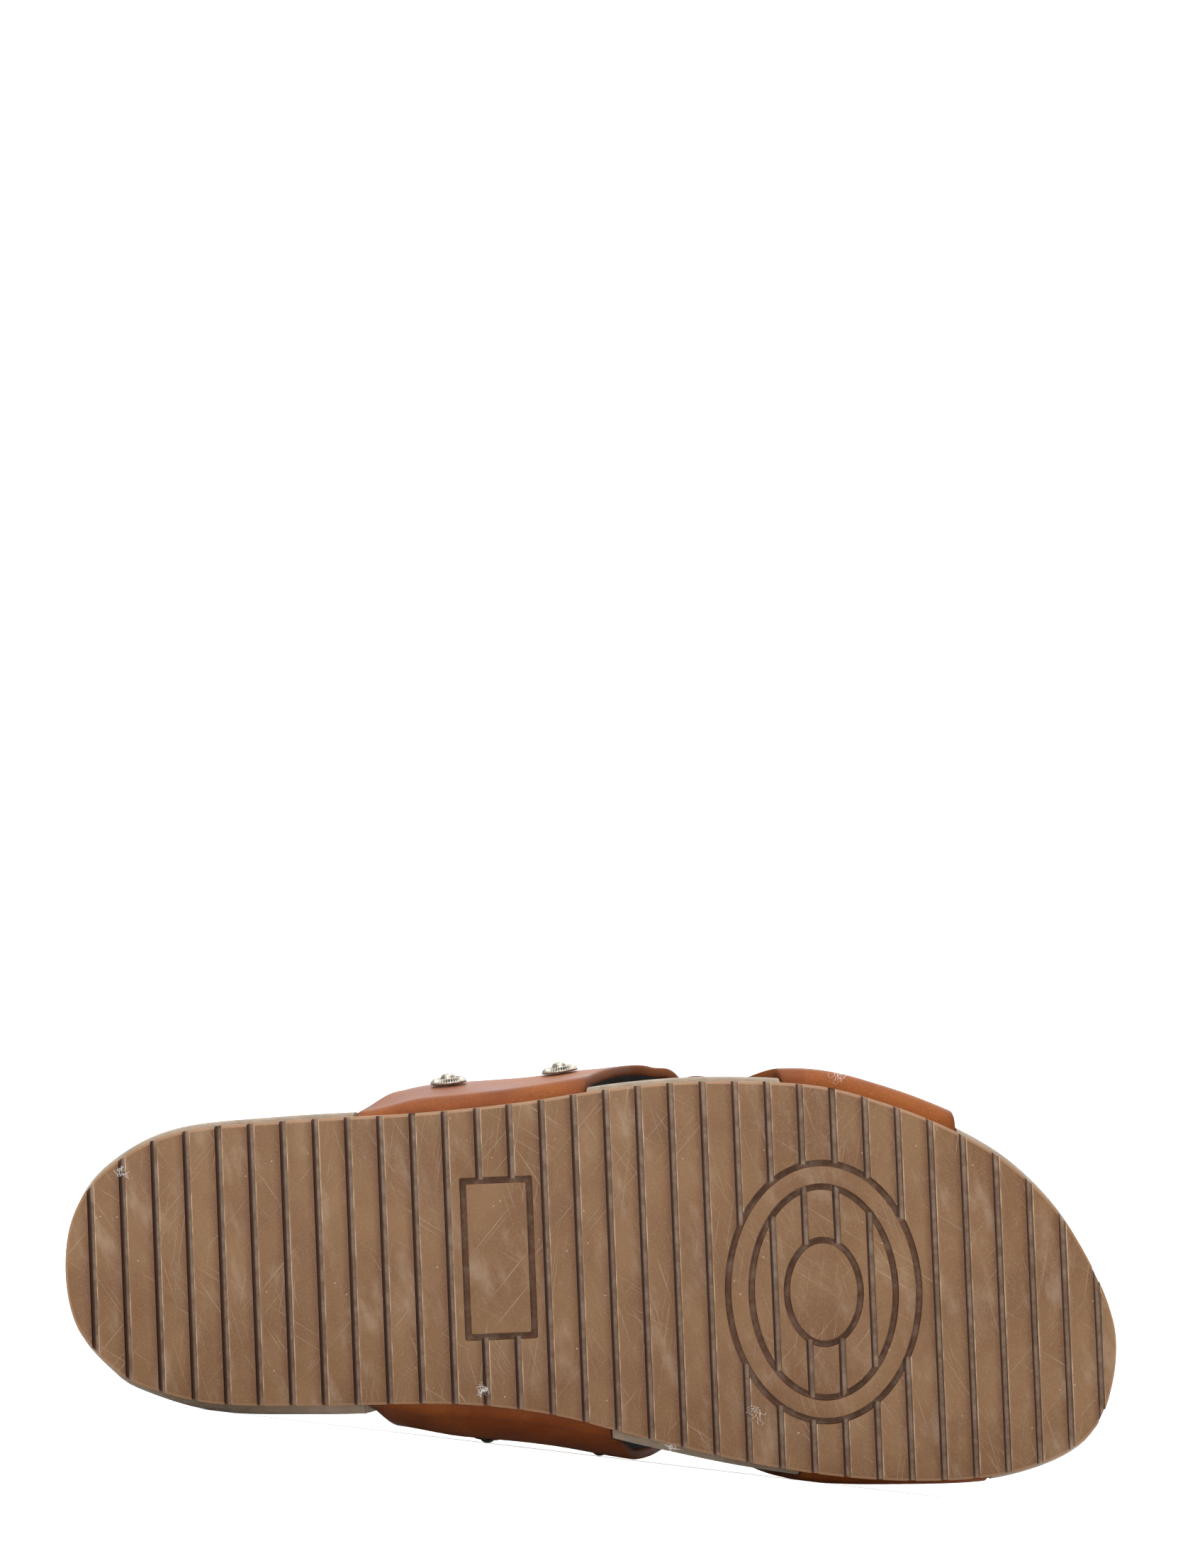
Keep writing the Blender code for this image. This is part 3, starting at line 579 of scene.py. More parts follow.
def rubber_groove(n, ribbed):
    """A groove: a painted shadow in dark red brown under the rib's edge, greyer with dust on the rest of its
    floor, and painted shading by depth on its upper walls.
    """
    grime = n.noise(260.0, 4.0, 0.65)
    dust = n.mix(n.ramp(grime, 0.35, 0.70), *GROOVE_DUST)
    if ribbed:
        # Painted shadow: dark red brown on the side of a straight groove under a rib's edge
        colour = n.mix(n.ramp(n.across_rib(0.5), 0.45, 0.52), RUBBER_GROOVE_SHADOW, dust)
    else:
        colour = n.mix(n.ramp(grime, 0.35, 0.7, 0.1, 0.4), RUBBER_WARM, dust)
    # Painted shading by depth: warm red brown on the groove's upper walls
    rim = n.ramp(n.height_above_tread(), 0.0008, 0.0003)
    colour = n.mix(n.times(rim, 0.6), colour, RUBBER_WARM)
    n.set(Base_Color=colour, Normal=n.bump(grime, 0.3, 0.0003), Roughness=0.62)


def rubber_side(n):
    """The cut side of the outsole, where light comes through the gum."""
    colour = n.mix(n.ramp(n.noise(120.0, 4.0, 0.6), 0.3, 0.7), *RUBBER_CUT)
    n.set(Base_Color=colour, Normal=n.bump(n.noise(900.0, 3.0), 0.3, 0.0002), Roughness=0.55)


def gum_rubber(name):
    n = Nodes(name)
    if "side" in name:
        rubber_side(n)
    elif "groove" in name:
        rubber_groove(n, "straight" in name)
    else:
        rubber_face(n, "rib" in name)
    n.set(Specular_IOR_Level=0.30, Subsurface_Weight=0.05, Subsurface_Radius=(0.003, 0.0012, 0.0006))
    return n.material


def suede(name, colours, scale=1.0):
    """Short-napped suede, dirtier towards the tread."""
    dark, light = colours
    n = Nodes(name)
    nap = n.noise(2600.0 * scale, 3.0, 0.7)
    cloud = n.noise(90.0, 4.0, 0.6)
    strokes = n.noise(1.0, 3.0, 0.6, n.stretch((350.0, 350.0, 1400.0)))
    colour = n.mix(n.ramp(cloud, 0.2, 0.8), dark, light)
    colour = n.mix(n.ramp(nap, 0.3, 0.75, 0.0, 0.5), colour, tuple(c * 1.35 for c in light))
    colour = n.mix(n.ramp(strokes, 0.5, 0.8, 0.0, 0.35), colour, tuple(c * 0.6 for c in dark))
    foot = n.ramp(n.height_above_tread(), 0.0105, 0.0062, 0.0, 0.5)
    grime = n.times(foot, n.ramp(n.noise(160.0, 4.0, 0.65), 0.3, 0.65, 0.4, 1.0))
    colour = n.mix(grime, colour, tuple(c * 0.5 for c in dark))
    height = n.plus(nap, n.times(strokes, 0.6))
    n.set(Base_Color=colour, Normal=n.bump(height, 0.7, 0.0003), Roughness=0.93, Specular_IOR_Level=0.2,
          Sheen_Weight=0.35, Sheen_Roughness=0.5)
    return n.material


def leather():
    """Fine-grained oiled leather, with pores, pale flecks and burnished edges."""
    n = Nodes("cognac_leather")
    cloud = n.noise(38.0, 5.0, 0.6, distortion=0.4)
    streak = n.noise(1.0, 4.0, 0.6, n.stretch((60.0, 260.0, 60.0)))
    pores = n.cells(2200.0)
    grain = n.cells(1700.0, "DISTANCE_TO_EDGE")
    colour = n.mix(n.ramp(cloud, 0.30, 0.72), *LEATHER)
    colour = n.mix(n.ramp(streak, 0.52, 0.80, 0.0, 0.35), colour, LEATHER_STREAK)
    colour = n.mix(n.ramp(pores, 0.0, 0.35, 0.30, 0.0), colour, LEATHER_PORE)
    fleck = n.ramp(n.noise(2100.0, 3.0, 0.7), 0.56, 0.70, 0.0, 0.55)
    colour = n.mix(n.times(fleck, n.ramp(cloud, 0.35, 0.60, 0.25, 1.0)), colour, LEATHER_FLECK)
    colour = n.mix(n.times(n.mask("edge"), 0.5), colour, LEATHER_EDGE)
    height = n.plus(n.ramp(grain, 0.0, 0.18), n.times(n.noise(2400.0, 2.0), 0.5))
    roughness = n.ramp(cloud, 0.3, 0.7, 0.42, 0.56)
    n.set(Base_Color=colour, Roughness=roughness, Normal=n.bump(height, 0.16, 0.0002),
          Specular_IOR_Level=0.13, Coat_Weight=0.02, Coat_Roughness=0.35)
    return n.material


def lining():
    n = Nodes("strap_lining")
    grain = n.noise(1800.0, 3.0, 0.6)
    colour = n.mix(n.ramp(grain, 0.3, 0.7), *LINING)
    n.set(Base_Color=colour, Normal=n.bump(grain, 0.3, 0.0002), Roughness=0.7)
    return n.material


def old_nickel():
    """Worn nickel, darkened in the hollows that the stud's mesh marks, partly as antique patina and partly as
    painted shade.
    """
    n = Nodes("old_nickel")
    wear = n.noise(900.0, 4.0, 0.6)
    colour = n.mix(n.mask("hollow"), n.mix(n.ramp(wear, 0.35, 0.7), *NICKEL), NICKEL_HOLLOW_SHADE_AND_PATINA)
    roughness = n.ramp(wear, 0.3, 0.7, 0.28, 0.45)
    n.set(Base_Color=colour, Roughness=roughness, Normal=n.bump(wear, 0.10, 0.0001), Metallic=1.0)
    return n.material


# Outsole

class Ring:
    """A closed groove round a place in the tread, an oval or a rounded panel."""

    def __init__(self, centre, length, width, power, segments):
        self.x = centre[0] * SOLE_LENGTH
        self.y = centre[1] * BALL_WIDTH
        self.half_x = length / 2
        self.half_y = width / 2
        self.power = power
        self.segments = segments

    def reach(self, x):
        """How far the ring's line lies from its middle at a station, or None beyond its ends."""
        share = abs(x - self.x) / self.half_x
        if share >= 1.0:
            return None
        return self.half_y * (1.0 - share ** self.power) ** (1.0 / self.power)

    def gap(self, x, y):
        """Roughly how far outside the ring's line a place lies, negative inside."""
        reach = (abs((x - self.x) / self.half_x) ** self.power
                 + abs((y - self.y) / self.half_y) ** self.power) ** (1.0 / self.power)
        return (reach - 1.0) * min(self.half_x, self.half_y)

    def loop(self, offset):
        """The ring's line moved out by an offset. The panel's is a rectangle with small round corners."""
        corner = PANEL_CORNER + max(offset, 0.0) * 0.3
        spots = []
        for k in range(self.segments):
            angle = 2 * math.pi * (k + 0.5) / self.segments
            c, s = math.cos(angle), math.sin(angle)
            x, y = c * (self.half_x + offset), s * (self.half_y + offset)
            if self.power == PANEL_POWER:
                x = math.copysign(self.half_x + offset - corner, c) + corner * c
                y = math.copysign(self.half_y + offset - corner, s) + corner * s
            spots.append((self.x + x, self.y + y))
        return spots

    def cut(self, bm):
        """Add the closed mesh that cuts the ring's groove."""
        walls = []
        for offset in (-RING_GROOVE_WIDTH / 2, RING_GROOVE_WIDTH / 2):
            loop = self.loop(offset)
            walls.append([bm.verts.new((x, y, -RIB_PITCH)) for x, y in loop])
            walls.append([bm.verts.new((x, y, GROOVE_DEPTH - RING_DEPTH_STEP)) for x, y in loop])
        inner_low, inner_high, outer_low, outer_high = walls
        for k in range(self.segments):
            n = (k + 1) % self.segments
            bm.faces.new((inner_low[n], inner_high[n], inner_high[k], inner_low[k]))
            bm.faces.new((outer_low[k], outer_high[k], outer_high[n], outer_low[n]))
            bm.faces.new((inner_high[k], inner_high[n], outer_high[n], outer_high[k]))
            bm.faces.new((inner_low[n], inner_low[k], outer_low[k], outer_low[n]))


def tread_rings():
    """The grooves of the panel's edge, the pad's edge, and the pad's inner band and core."""
    width = RING_GROOVE_WIDTH
    inner_length = PAD_LENGTH - 2 * PAD_BAND
    inner_width = PAD_WIDTH - 2 * PAD_BAND
    return (
        Ring(PANEL_CENTRE, PANEL_LENGTH + width, PANEL_WIDTH + width, PANEL_POWER, 16),
        Ring(PAD_CENTRE, PAD_LENGTH - width, PAD_WIDTH - width, OVAL_POWER, 112),
        Ring(PAD_CENTRE, inner_length + width, inner_width + width, OVAL_POWER, 88),
        Ring(PAD_CENTRE, PAD_CORE_LENGTH + width, PAD_CORE_WIDTH + width, OVAL_POWER, 56),
    )


def groove_stretches(x, rings):
    """The stretches of a straight groove, which stops at the panel and at every other band of the pad."""
    panel, *ovals = rings
    if panel.reach(x):
        marks = [panel.y - panel.half_y, panel.y + panel.half_y]
    else:
        marks = sorted(ring.y + way * ring.reach(x) for ring in ovals if ring.reach(x) for way in (-1, 1))
    marks = [-BALL_WIDTH, *marks, BALL_WIDTH]
    return zip(marks[0::2], marks[1::2])


def cutter(name, bm):
    """A closed mesh to cut with."""
    bmesh.ops.triangulate(bm, faces=bm.faces[:])
    face_outwards(bm)
    return link(name, bm, [])


def near_outline(spots):
    """How far each (x, y) lies from the sole's outline."""
    runs = np.roll(POINTS, -1, axis=0) - POINTS
    gaps = np.full(len(spots), BALL_WIDTH)
    for start, run in zip(POINTS, runs):
        offset = spots - start
        share = np.clip(offset @ run / (run @ run), 0.0, 1.0)
        gaps = np.minimum(gaps, np.linalg.norm(offset - share[:, None] * run, axis=1))
    return gaps


def name_faces(bm, rings):
    """Give each face of the flat tread its material: rib, plain field, groove or side."""
    centres = np.array([f.calc_center_median() for f in bm.faces])
    panel, outer = rings[0], rings[1]
    for face, (x, y, z), gap in zip(bm.faces, centres, near_outline(centres[:, :2])):
        if z > OUTSOLE_THICKNESS - 0.0001 or (gap < 0.0002 and abs(face.normal.z) < 0.5):
            face.material_index = SIDE
        elif z > 1.6 * RIB_ROUNDING and (gap > 0.0012 or z > 0.6 * GROOVE_DEPTH):
            ringed = any(abs(ring.gap(x, y)) < RING_GROOVE_WIDTH for ring in rings)
            face.material_index = RING_GROOVE if ringed else STRAIGHT_GROOVE
        else:
            face.material_index = PLAIN if panel.gap(x, y) < 0.0 or outer.gap(x, y) < 0.0 else RIB


def make_outsole():
    """The tread, cut flat, its edges rounded, and then bent up at the toe."""
    bm = bmesh.new()
    flat = np.zeros(len(POINTS))
    foot = add_ring(bm, flat - OUTSOLE_EDGE, flat)
    edge = add_ring(bm, flat, flat + OUTSOLE_EDGE)
    top = add_ring(bm, flat, flat + OUTSOLE_THICKNESS)
    add_walls(bm, (foot, edge, top))
    bm.faces.new(foot[::-1])
    bm.faces.new(top)
    face_outwards(bm)
    outsole = link("outsole_tread", bm, [gum_rubber(name) for name in RUBBER_PARTS])

    rings = tread_rings()
    bm = bmesh.new()
    x = FIRST_GROOVE
    while x < SOLE_LENGTH - GROOVE_WIDTH:
        near, far = x - GROOVE_WIDTH / 2, x + GROOVE_WIDTH / 2
        for low, high in groove_stretches(x, rings):
            corners = ((near, low), (far, low), (far, high), (near, high))
            under = [bm.verts.new((a, b, -RIB_PITCH)) for a, b in corners]
            over = [bm.verts.new((a, b, GROOVE_DEPTH)) for a, b in corners]
            bm.faces.new(under[::-1])
            bm.faces.new(over)
            add_tube(bm, (under, over))
        x += RIB_PITCH
    cutters = [cutter("straight_grooves", bm)]
    for ring in rings:
        bm = bmesh.new()
        ring.cut(bm)
        cutters.append(cutter("ring_groove", bm))
    cut(outsole, cutters)

    bm = bmesh.new()
    bm.from_mesh(outsole.data)
    bmesh.ops.dissolve_limit(bm, angle_limit=math.radians(0.5), verts=bm.verts[:], edges=bm.edges[:])
    bmesh.ops.remove_doubles(bm, verts=bm.verts[:], dist=RIB_ROUNDING)
    sharp = [e for e in bm.edges if len(e.link_faces) == 2 and e.calc_face_angle() > math.radians(40)
             and max(v.co.z for v in e.verts) < OUTSOLE_THICKNESS - OUTSOLE_EDGE]
    bmesh.ops.bevel(bm, geom=sharp, offset=RIB_ROUNDING, segments=2, profile=0.55, affect="EDGES",
                    clamp_overlap=False, offset_type="OFFSET")
    x = SPRING_START * SOLE_LENGTH
    while x < SOLE_LENGTH:
        bmesh.ops.bisect_plane(bm, geom=bm.verts[:] + bm.edges[:] + bm.faces[:], dist=1e-6,
                               plane_co=(x, 0.0, 0.0), plane_no=(1.0, 0.0, 0.0))
        x += RIB_PITCH / 2
    bmesh.ops.triangulate(bm, faces=bm.faces[:])
    name_faces(bm, rings)
    for vert in bm.verts:
        vert.co.z += rise(vert.co.x)
    bm.to_mesh(outsole.data)
    bm.free()
    return outsole


# Midsole and insole

def rim_height(x, t):
    """The footbed's rim above the floor. t runs from -1, little toe side, to 1, big toe side."""
    along = x / SOLE_LENGTH
    stack = blend(HEEL_STACK, FOREFOOT_STACK, ease(along, *STACK_DROP))
    arch = ARCH_RISE * max(t, 0.0) ** 2 * ease(along, *ARCH_UP) * ease(along, *ARCH_DOWN)
    return stack + arch + rise(x)


def footbed(x, t):
    """The height of the insole's top."""
    along = x / SOLE_LENGTH
    dip = blend(HEEL_CUP_DEPTH, FOREFOOT_DIP, ease(along, *CUP_TO_FOREFOOT))
    ends = ease(along, *DIP_UP) * ease(along, *DIP_DOWN)
    return rim_height(x, t) - dip * ends * (1.0 - t * t)


def point_sides():
    """-1 or 1 for each outline point, easing through 0 at heel and toe."""
    return np.clip(NORMALS[:, 1] * 1.3, -1.0, 1.0)


def arch_share(along):
    """How much of the arch bulge the midsole has: all in the waist, half at the ball."""
    return 0.5 + 0.5 * ease(along, *BULGE_UP) * ease(along, *BULGE_DOWN)


def rim_line():
    return np.array([rim_height(x, t) for x, t in zip(POINTS[:, 0], point_sides())])


def make_midsole():
    sides = point_sides()
    xs = POINTS[:, 0]
    rim = rim_line()
    floor = np.array([OUTSOLE_THICKNESS + CLEARANCE + rise(x) for x in xs])
    arch = [MIDSOLE_ARCH_BULGE * arch_share(x / SOLE_LENGTH) for x in xs]
    bulge = np.where(sides < 0, MIDSOLE_SIDE_BULGE * -sides, arch * np.maximum(sides, 0.0))
    recess = np.full(len(xs), -INSOLE_MARGIN + CLEARANCE)
    foot_in, foot_up = 2.0 * MIDSOLE_EDGE, 2.2 * MIDSOLE_EDGE
    rim_in, rim_down = 1.5 * MIDSOLE_EDGE, 1.2 * MIDSOLE_EDGE
    levels = [(bulge - foot_in, floor)]
    for share in ROUNDING_SHARES:
        angle = share * math.pi / 2
        levels.append((bulge - foot_in * (1.0 - math.sin(angle)), floor + foot_up * (1.0 - math.cos(angle))))
    for share in (0.15, 0.3, 0.45, 0.6, 0.75, 0.9, 1.0):
        levels.append((bulge - MIDSOLE_LEAN * share, blend(floor + foot_up, rim - rim_down, share)))
    for share in ROUNDING_SHARES:
        angle = share * math.pi / 2
        levels.append((bulge - MIDSOLE_LEAN - rim_in * (1.0 - math.cos(angle)),
                       rim - rim_down * (1.0 - math.sin(angle))))
    levels += [(recess + RIM_STEP, rim), (recess, rim - RIM_STEP)]
    levels.append((recess, rim - INSOLE_THICKNESS - CLEARANCE))
    bm = bmesh.new()
    rings = [add_ring(bm, offsets, heights) for offsets, heights in levels]
    add_walls(bm, rings)
    add_cap(bm, rings[0], 1, None, False)
    add_cap(bm, rings[-1], UNSEEN_COLUMNS, lambda x, t: footbed(x, t) - INSOLE_THICKNESS - CLEARANCE, True)
    bmesh.ops.triangulate(bm, faces=bm.faces[:], quad_method="FIXED")
    face_outwards(bm)
    return link("midsole_wrap", bm, [suede("khaki_suede", KHAKI)])


def foot_dent(x, t):
    """How deep the foot has pressed the sock."""
    depth = 0.0
    for centre, side, length, width, deep in FOOT_MARKS:
        depth += deep * math.exp(-((x / SOLE_LENGTH - centre) / length) ** 2 - ((t - side) / width) ** 2)
    return depth


def make_insole():
    rim = rim_line()
    offset = np.full(len(POINTS), -INSOLE_MARGIN)
    bm = bmesh.new()
    rings = [add_ring(bm, offset, rim - INSOLE_THICKNESS)]
    for share in (0.0, 0.35, 0.7, 1.0):
        angle = share * math.pi / 2
        rings.append(add_ring(bm, offset - INSOLE_EDGE * (1.0 - math.cos(angle)),
                              rim - INSOLE_EDGE * (1.0 - math.sin(angle))))
    add_walls(bm, rings)
    add_cap(bm, rings[0], UNSEEN_COLUMNS, lambda x, t: footbed(x, t) - INSOLE_THICKNESS, False)
    add_cap(bm, rings[-1], CAP_COLUMNS, lambda x, t: footbed(x, t) - foot_dent(x, t), True)
    face_outwards(bm)
    return link("insole_sock", bm, [suede("sock_suede", SOCK, 0.8)])


# Straps

def section_curve():
    """The section table, eased from row to row and carried on past both ends."""
    rows = np.array(SECTIONS)
    return catmull_rom(list(np.vstack((rows[0] * 2 - rows[1], rows, rows[-1] * 2 - rows[-2]))), 6)


SECTION_CURVE = section_curve()


def section_value(name, along):
    return float(np.interp(along, SECTION_CURVE[:, 0], SECTION_CURVE[:, SECTION_COLUMNS.index(name)]))


def strap_side(x, side):
    """Half of the straps' inside at a station, as (y, z) from the tucked-in end to the crown."""
    along = x / SOLE_LENGTH
    name = "lateral" if side < 0 else "medial"
    power = 2 / (LATERAL_FULLNESS if side < 0 else MEDIAL_FULLNESS)
    edge, sideways = edge_at(x, side)
    base = section_value(name + "_base", along) * STRAP_THICKNESS / sideways
    bulge = section_value(name + "_bulge", along) * STRAP_THICKNESS / sideways
    floor = OUTSOLE_THICKNESS + CLEARANCE + STRAP_THICKNESS + rise(x)
    start = floor + FOLD_RADIUS
    widest = start + section_value(name + "_widest", along) * INSTEP_HEIGHT
    crown = FOREFOOT_STACK + blend(BALL_HEIGHT, INSTEP_HEIGHT, section_value("crown", along)) + rise(x)
    centre = CROWN_SHIFT * BALL_WIDTH
    rows = [(edge + base - FOLD_RADIUS - TUCK_LENGTH * share, floor) for share in (1.0, 0.66, 0.33)]
    for step in range(FOLD_STEPS + 1):
        angle = 0.5 * math.pi * step / FOLD_STEPS
        rows.append((edge + base - FOLD_RADIUS + FOLD_RADIUS * math.sin(angle),
                     floor + FOLD_RADIUS * (1.0 - math.cos(angle))))
    for step in range(1, WALL_STEPS + 1):
        share = step / WALL_STEPS
        rows.append((edge + blend(base, bulge, math.sin(0.5 * math.pi * share)), blend(start, widest, share)))
    reach = edge + bulge - side * centre
    for step in range(1, CROWN_STEPS + 1):
        angle = 0.5 * math.pi * step / CROWN_STEPS
        rows.append((side * centre + reach * math.cos(angle) ** power,
                     widest + (crown - widest) * math.sin(angle) ** power))
    return [(side * y, z) for y, z in rows]


def strap_section(x):
    return np.array([(x, y, z) for y, z in strap_side(x, -1) + strap_side(x, 1)[-2::-1]])


def section_shares():
    """How far round the straps each point of a section lies, 0 and 1 at the folds."""
    lengths = lengths_along(strap_section(0.58 * SOLE_LENGTH))
    return (lengths - lengths[3]) / (lengths[-4] - lengths[3])


SHARES = section_shares()


def strap_span(strap, share):
    """The stations of a strap's rear and front edge, from its lateral leg at 0 to its medial leg at 1."""
    share = min(max(share, 0.0), 1.0)
    centre = blend(strap.lateral_centre, strap.medial_centre, share) * SOLE_LENGTH
    width = blend(strap.lateral_width, strap.medial_width, share) * STRAP_WIDTH
    return centre - width / 2, centre + width / 2


def press(spot, normal):
    """The point with the listed troughs pressed in along its normal."""
    side = -1 if spot[1] < CROWN_SHIFT * BALL_WIDTH else 1
    depth = 0.0
    for fold in PRESSES:
        if fold.side == side:
            onward = (spot[0] - fold.along * SOLE_LENGTH) / fold.reach_along
            upward = (spot[2] - fold.height) / fold.reach_up
            depth += fold.depth * math.exp(-(onward ** 2 + upward ** 2))
    return spot - normal * depth


def draw_in(spot, x, rear, at, strap):
    """The move sideways that tucks a rear leg's back edge in to the sole, which rounds the leg's corner."""
    leg = at < 0.3 if strap.name == "over" else at > 0.7
    if not leg or spot[2] < OUTSOLE_THICKNESS + STRAP_THICKNESS + rise(spot[0]):
        return np.zeros(3)
    near = 1.0 - smooth((x - rear) / EDGE_TUCK_RUN)
    low = smooth((EDGE_TUCK_TOP - spot[2]) / (EDGE_TUCK_TOP - 0.5 * OUTSOLE_THICKNESS))
    return np.array((0.0, math.copysign(EDGE_TUCK * near * low, spot[1]), 0.0))


NORMAL_STEP = 0.001
SECTION_CACHE = {}


def strap_normals(x):
    """A section of the straps' inside and the outward normals along it."""
    key = round(x, 5)
    if key not in SECTION_CACHE:
        along = strap_section(x + NORMAL_STEP) - strap_section(x - NORMAL_STEP)
        here = strap_section(x)
        normals = np.cross(along, np.gradient(here, axis=0))
        SECTION_CACHE[key] = (here, normals / np.linalg.norm(normals, axis=1)[:, None])
    return SECTION_CACHE[key]


def lap(x, share):
    """How far the upper strap is lifted to pass over the lower one."""
    rear, front = strap_span(STRAPS[1], share)
    outside = max(rear - x, x - front, 0.0)
    return (STRAP_THICKNESS + LAP_GAP) * (1.0 - smooth(outside / LAP_RUN))


def strap_profile():
    """Once round a strap's cut: share of its width, level from 1 outside to -1 inside, edge rounding."""
    shares = [i / STRAP_COLUMNS for i in range(STRAP_COLUMNS + 1)]
    angles = [math.pi * k / EDGE_STEPS for k in range(1, EDGE_STEPS)]
    return ([(share, 1.0, 0.0) for share in shares]
            + [(1.0, math.cos(angle), math.sin(angle)) for angle in angles]
            + [(share, -1.0, 0.0) for share in shares[::-1]]
            + [(0.0, -math.cos(angle), -math.sin(angle)) for angle in angles])


def make_strap(strap, grain, inner_skin):
    """A strap with a rounded cut edge: leather outside, thin lining inside."""
    half = STRAP_THICKNESS / 2
    profile = strap_profile()
    bm = bmesh.new()
    layer = bm.verts.layers.float.new("edge")
    grid = []
    for j, at in enumerate(SHARES):
        rear, front = strap_span(strap, at)
        line = []
        for share, level, out in profile:
            x = blend(rear + EDGE_ROUNDING, front - EDGE_ROUNDING, share) + EDGE_ROUNDING * out
            here, normals = strap_normals(x)
            lift = lap(x, at) if strap.name == "over" else 0.0
            spot = press(here[j] + normals[j] * (half + half * level + lift), normals[j])
            vert = bm.verts.new(spot - draw_in(here[j], x, rear, at, strap))
            near = min(x - rear, front - x) / STRAP_THICKNESS
            vert[layer] = max(1.0 - near, 0.0) if level > -0.9 else 1.0
            line.append(vert)
        grid.append(line)
    inner_first = STRAP_COLUMNS + EDGE_STEPS
    for i, face in enumerate(add_tube(bm, grid)):
        face.material_index = int(inner_first <= i % len(profile) < inner_first + STRAP_COLUMNS)
    bm.faces.new(grid[0][::-1])
    bm.faces.new(grid[-1])
    face_outwards(bm)
    return link("strap_" + strap.name, bm, [grain, inner_skin])


def leg_cutter(strap, first, last):
    """Room for a strap leg in the midsole's wall and under it."""
    inside, outside = [], []
    bm = bmesh.new()
    for j in range(first, last):
        rear, front = strap_span(strap, SHARES[j])
        inner, outer = [], []
        for i in range(RECESS_COLUMNS + 1):
            x = blend(rear - CLEARANCE, front + CLEARANCE, i / RECESS_COLUMNS)
            here, normals = strap_normals(x)
            spot = here[j]
            if j in (0, len(SHARES) - 1):
                onward = spot - here[1 if j == 0 else len(SHARES) - 2]
                spot = spot + onward / np.linalg.norm(onward) * CLEARANCE
            spot = press(spot, normals[j]) - draw_in(here[j], x, rear, SHARES[j], strap)
            inner.append(bm.verts.new(spot - normals[j] * CLEARANCE))
            outer.append(bm.verts.new(spot + normals[j] * RECESS_THICKNESSES * STRAP_THICKNESS))
        inside.append(inner)
        outside.append(outer)
    for a, b, c, d in zip(inside, inside[1:], outside, outside[1:]):
        for i in range(RECESS_COLUMNS):
            bm.faces.new((a[i], b[i], b[i + 1], a[i + 1]))
            bm.faces.new((c[i], c[i + 1], d[i + 1], d[i]))
        for i in (0, RECESS_COLUMNS):
            bm.faces.new((a[i], c[i], d[i], b[i]))
    for a, c in ((inside[0], outside[0]), (inside[-1], outside[-1])):
        for i in range(RECESS_COLUMNS):
            bm.faces.new((a[i], a[i + 1], c[i + 1], c[i]))
    return cutter("leg_recess", bm)


def cut_leg_recesses(midsole):
    count = len(SHARES)
    cut(midsole, [leg_cutter(strap, first, last) for strap in STRAPS
                  for first, last in ((0, LEG_ROWS), (count - LEG_ROWS, count))])


# Studs

def stud_place(side, along, height):
    """The middle of a stud's seat on a strap, and the way it faces."""
    here, normals = strap_normals(along * SOLE_LENGTH)
    middle = len(here) // 2
    half = slice(12, middle) if side < 0 else slice(middle, len(here) - 12)
    order = np.argsort(here[half, 2])
    heights = here[half, 2][order]
    wanted = height * INSTEP_HEIGHT
    spot = Vector([np.interp(wanted, heights, here[half, k][order]) for k in range(3)])
    normal = Vector([np.interp(wanted, heights, normals[half, k][order]) for k in range(3)]).normalized()
    return spot + normal * (STRAP_THICKNESS + 1.5 * CLEARANCE), normal


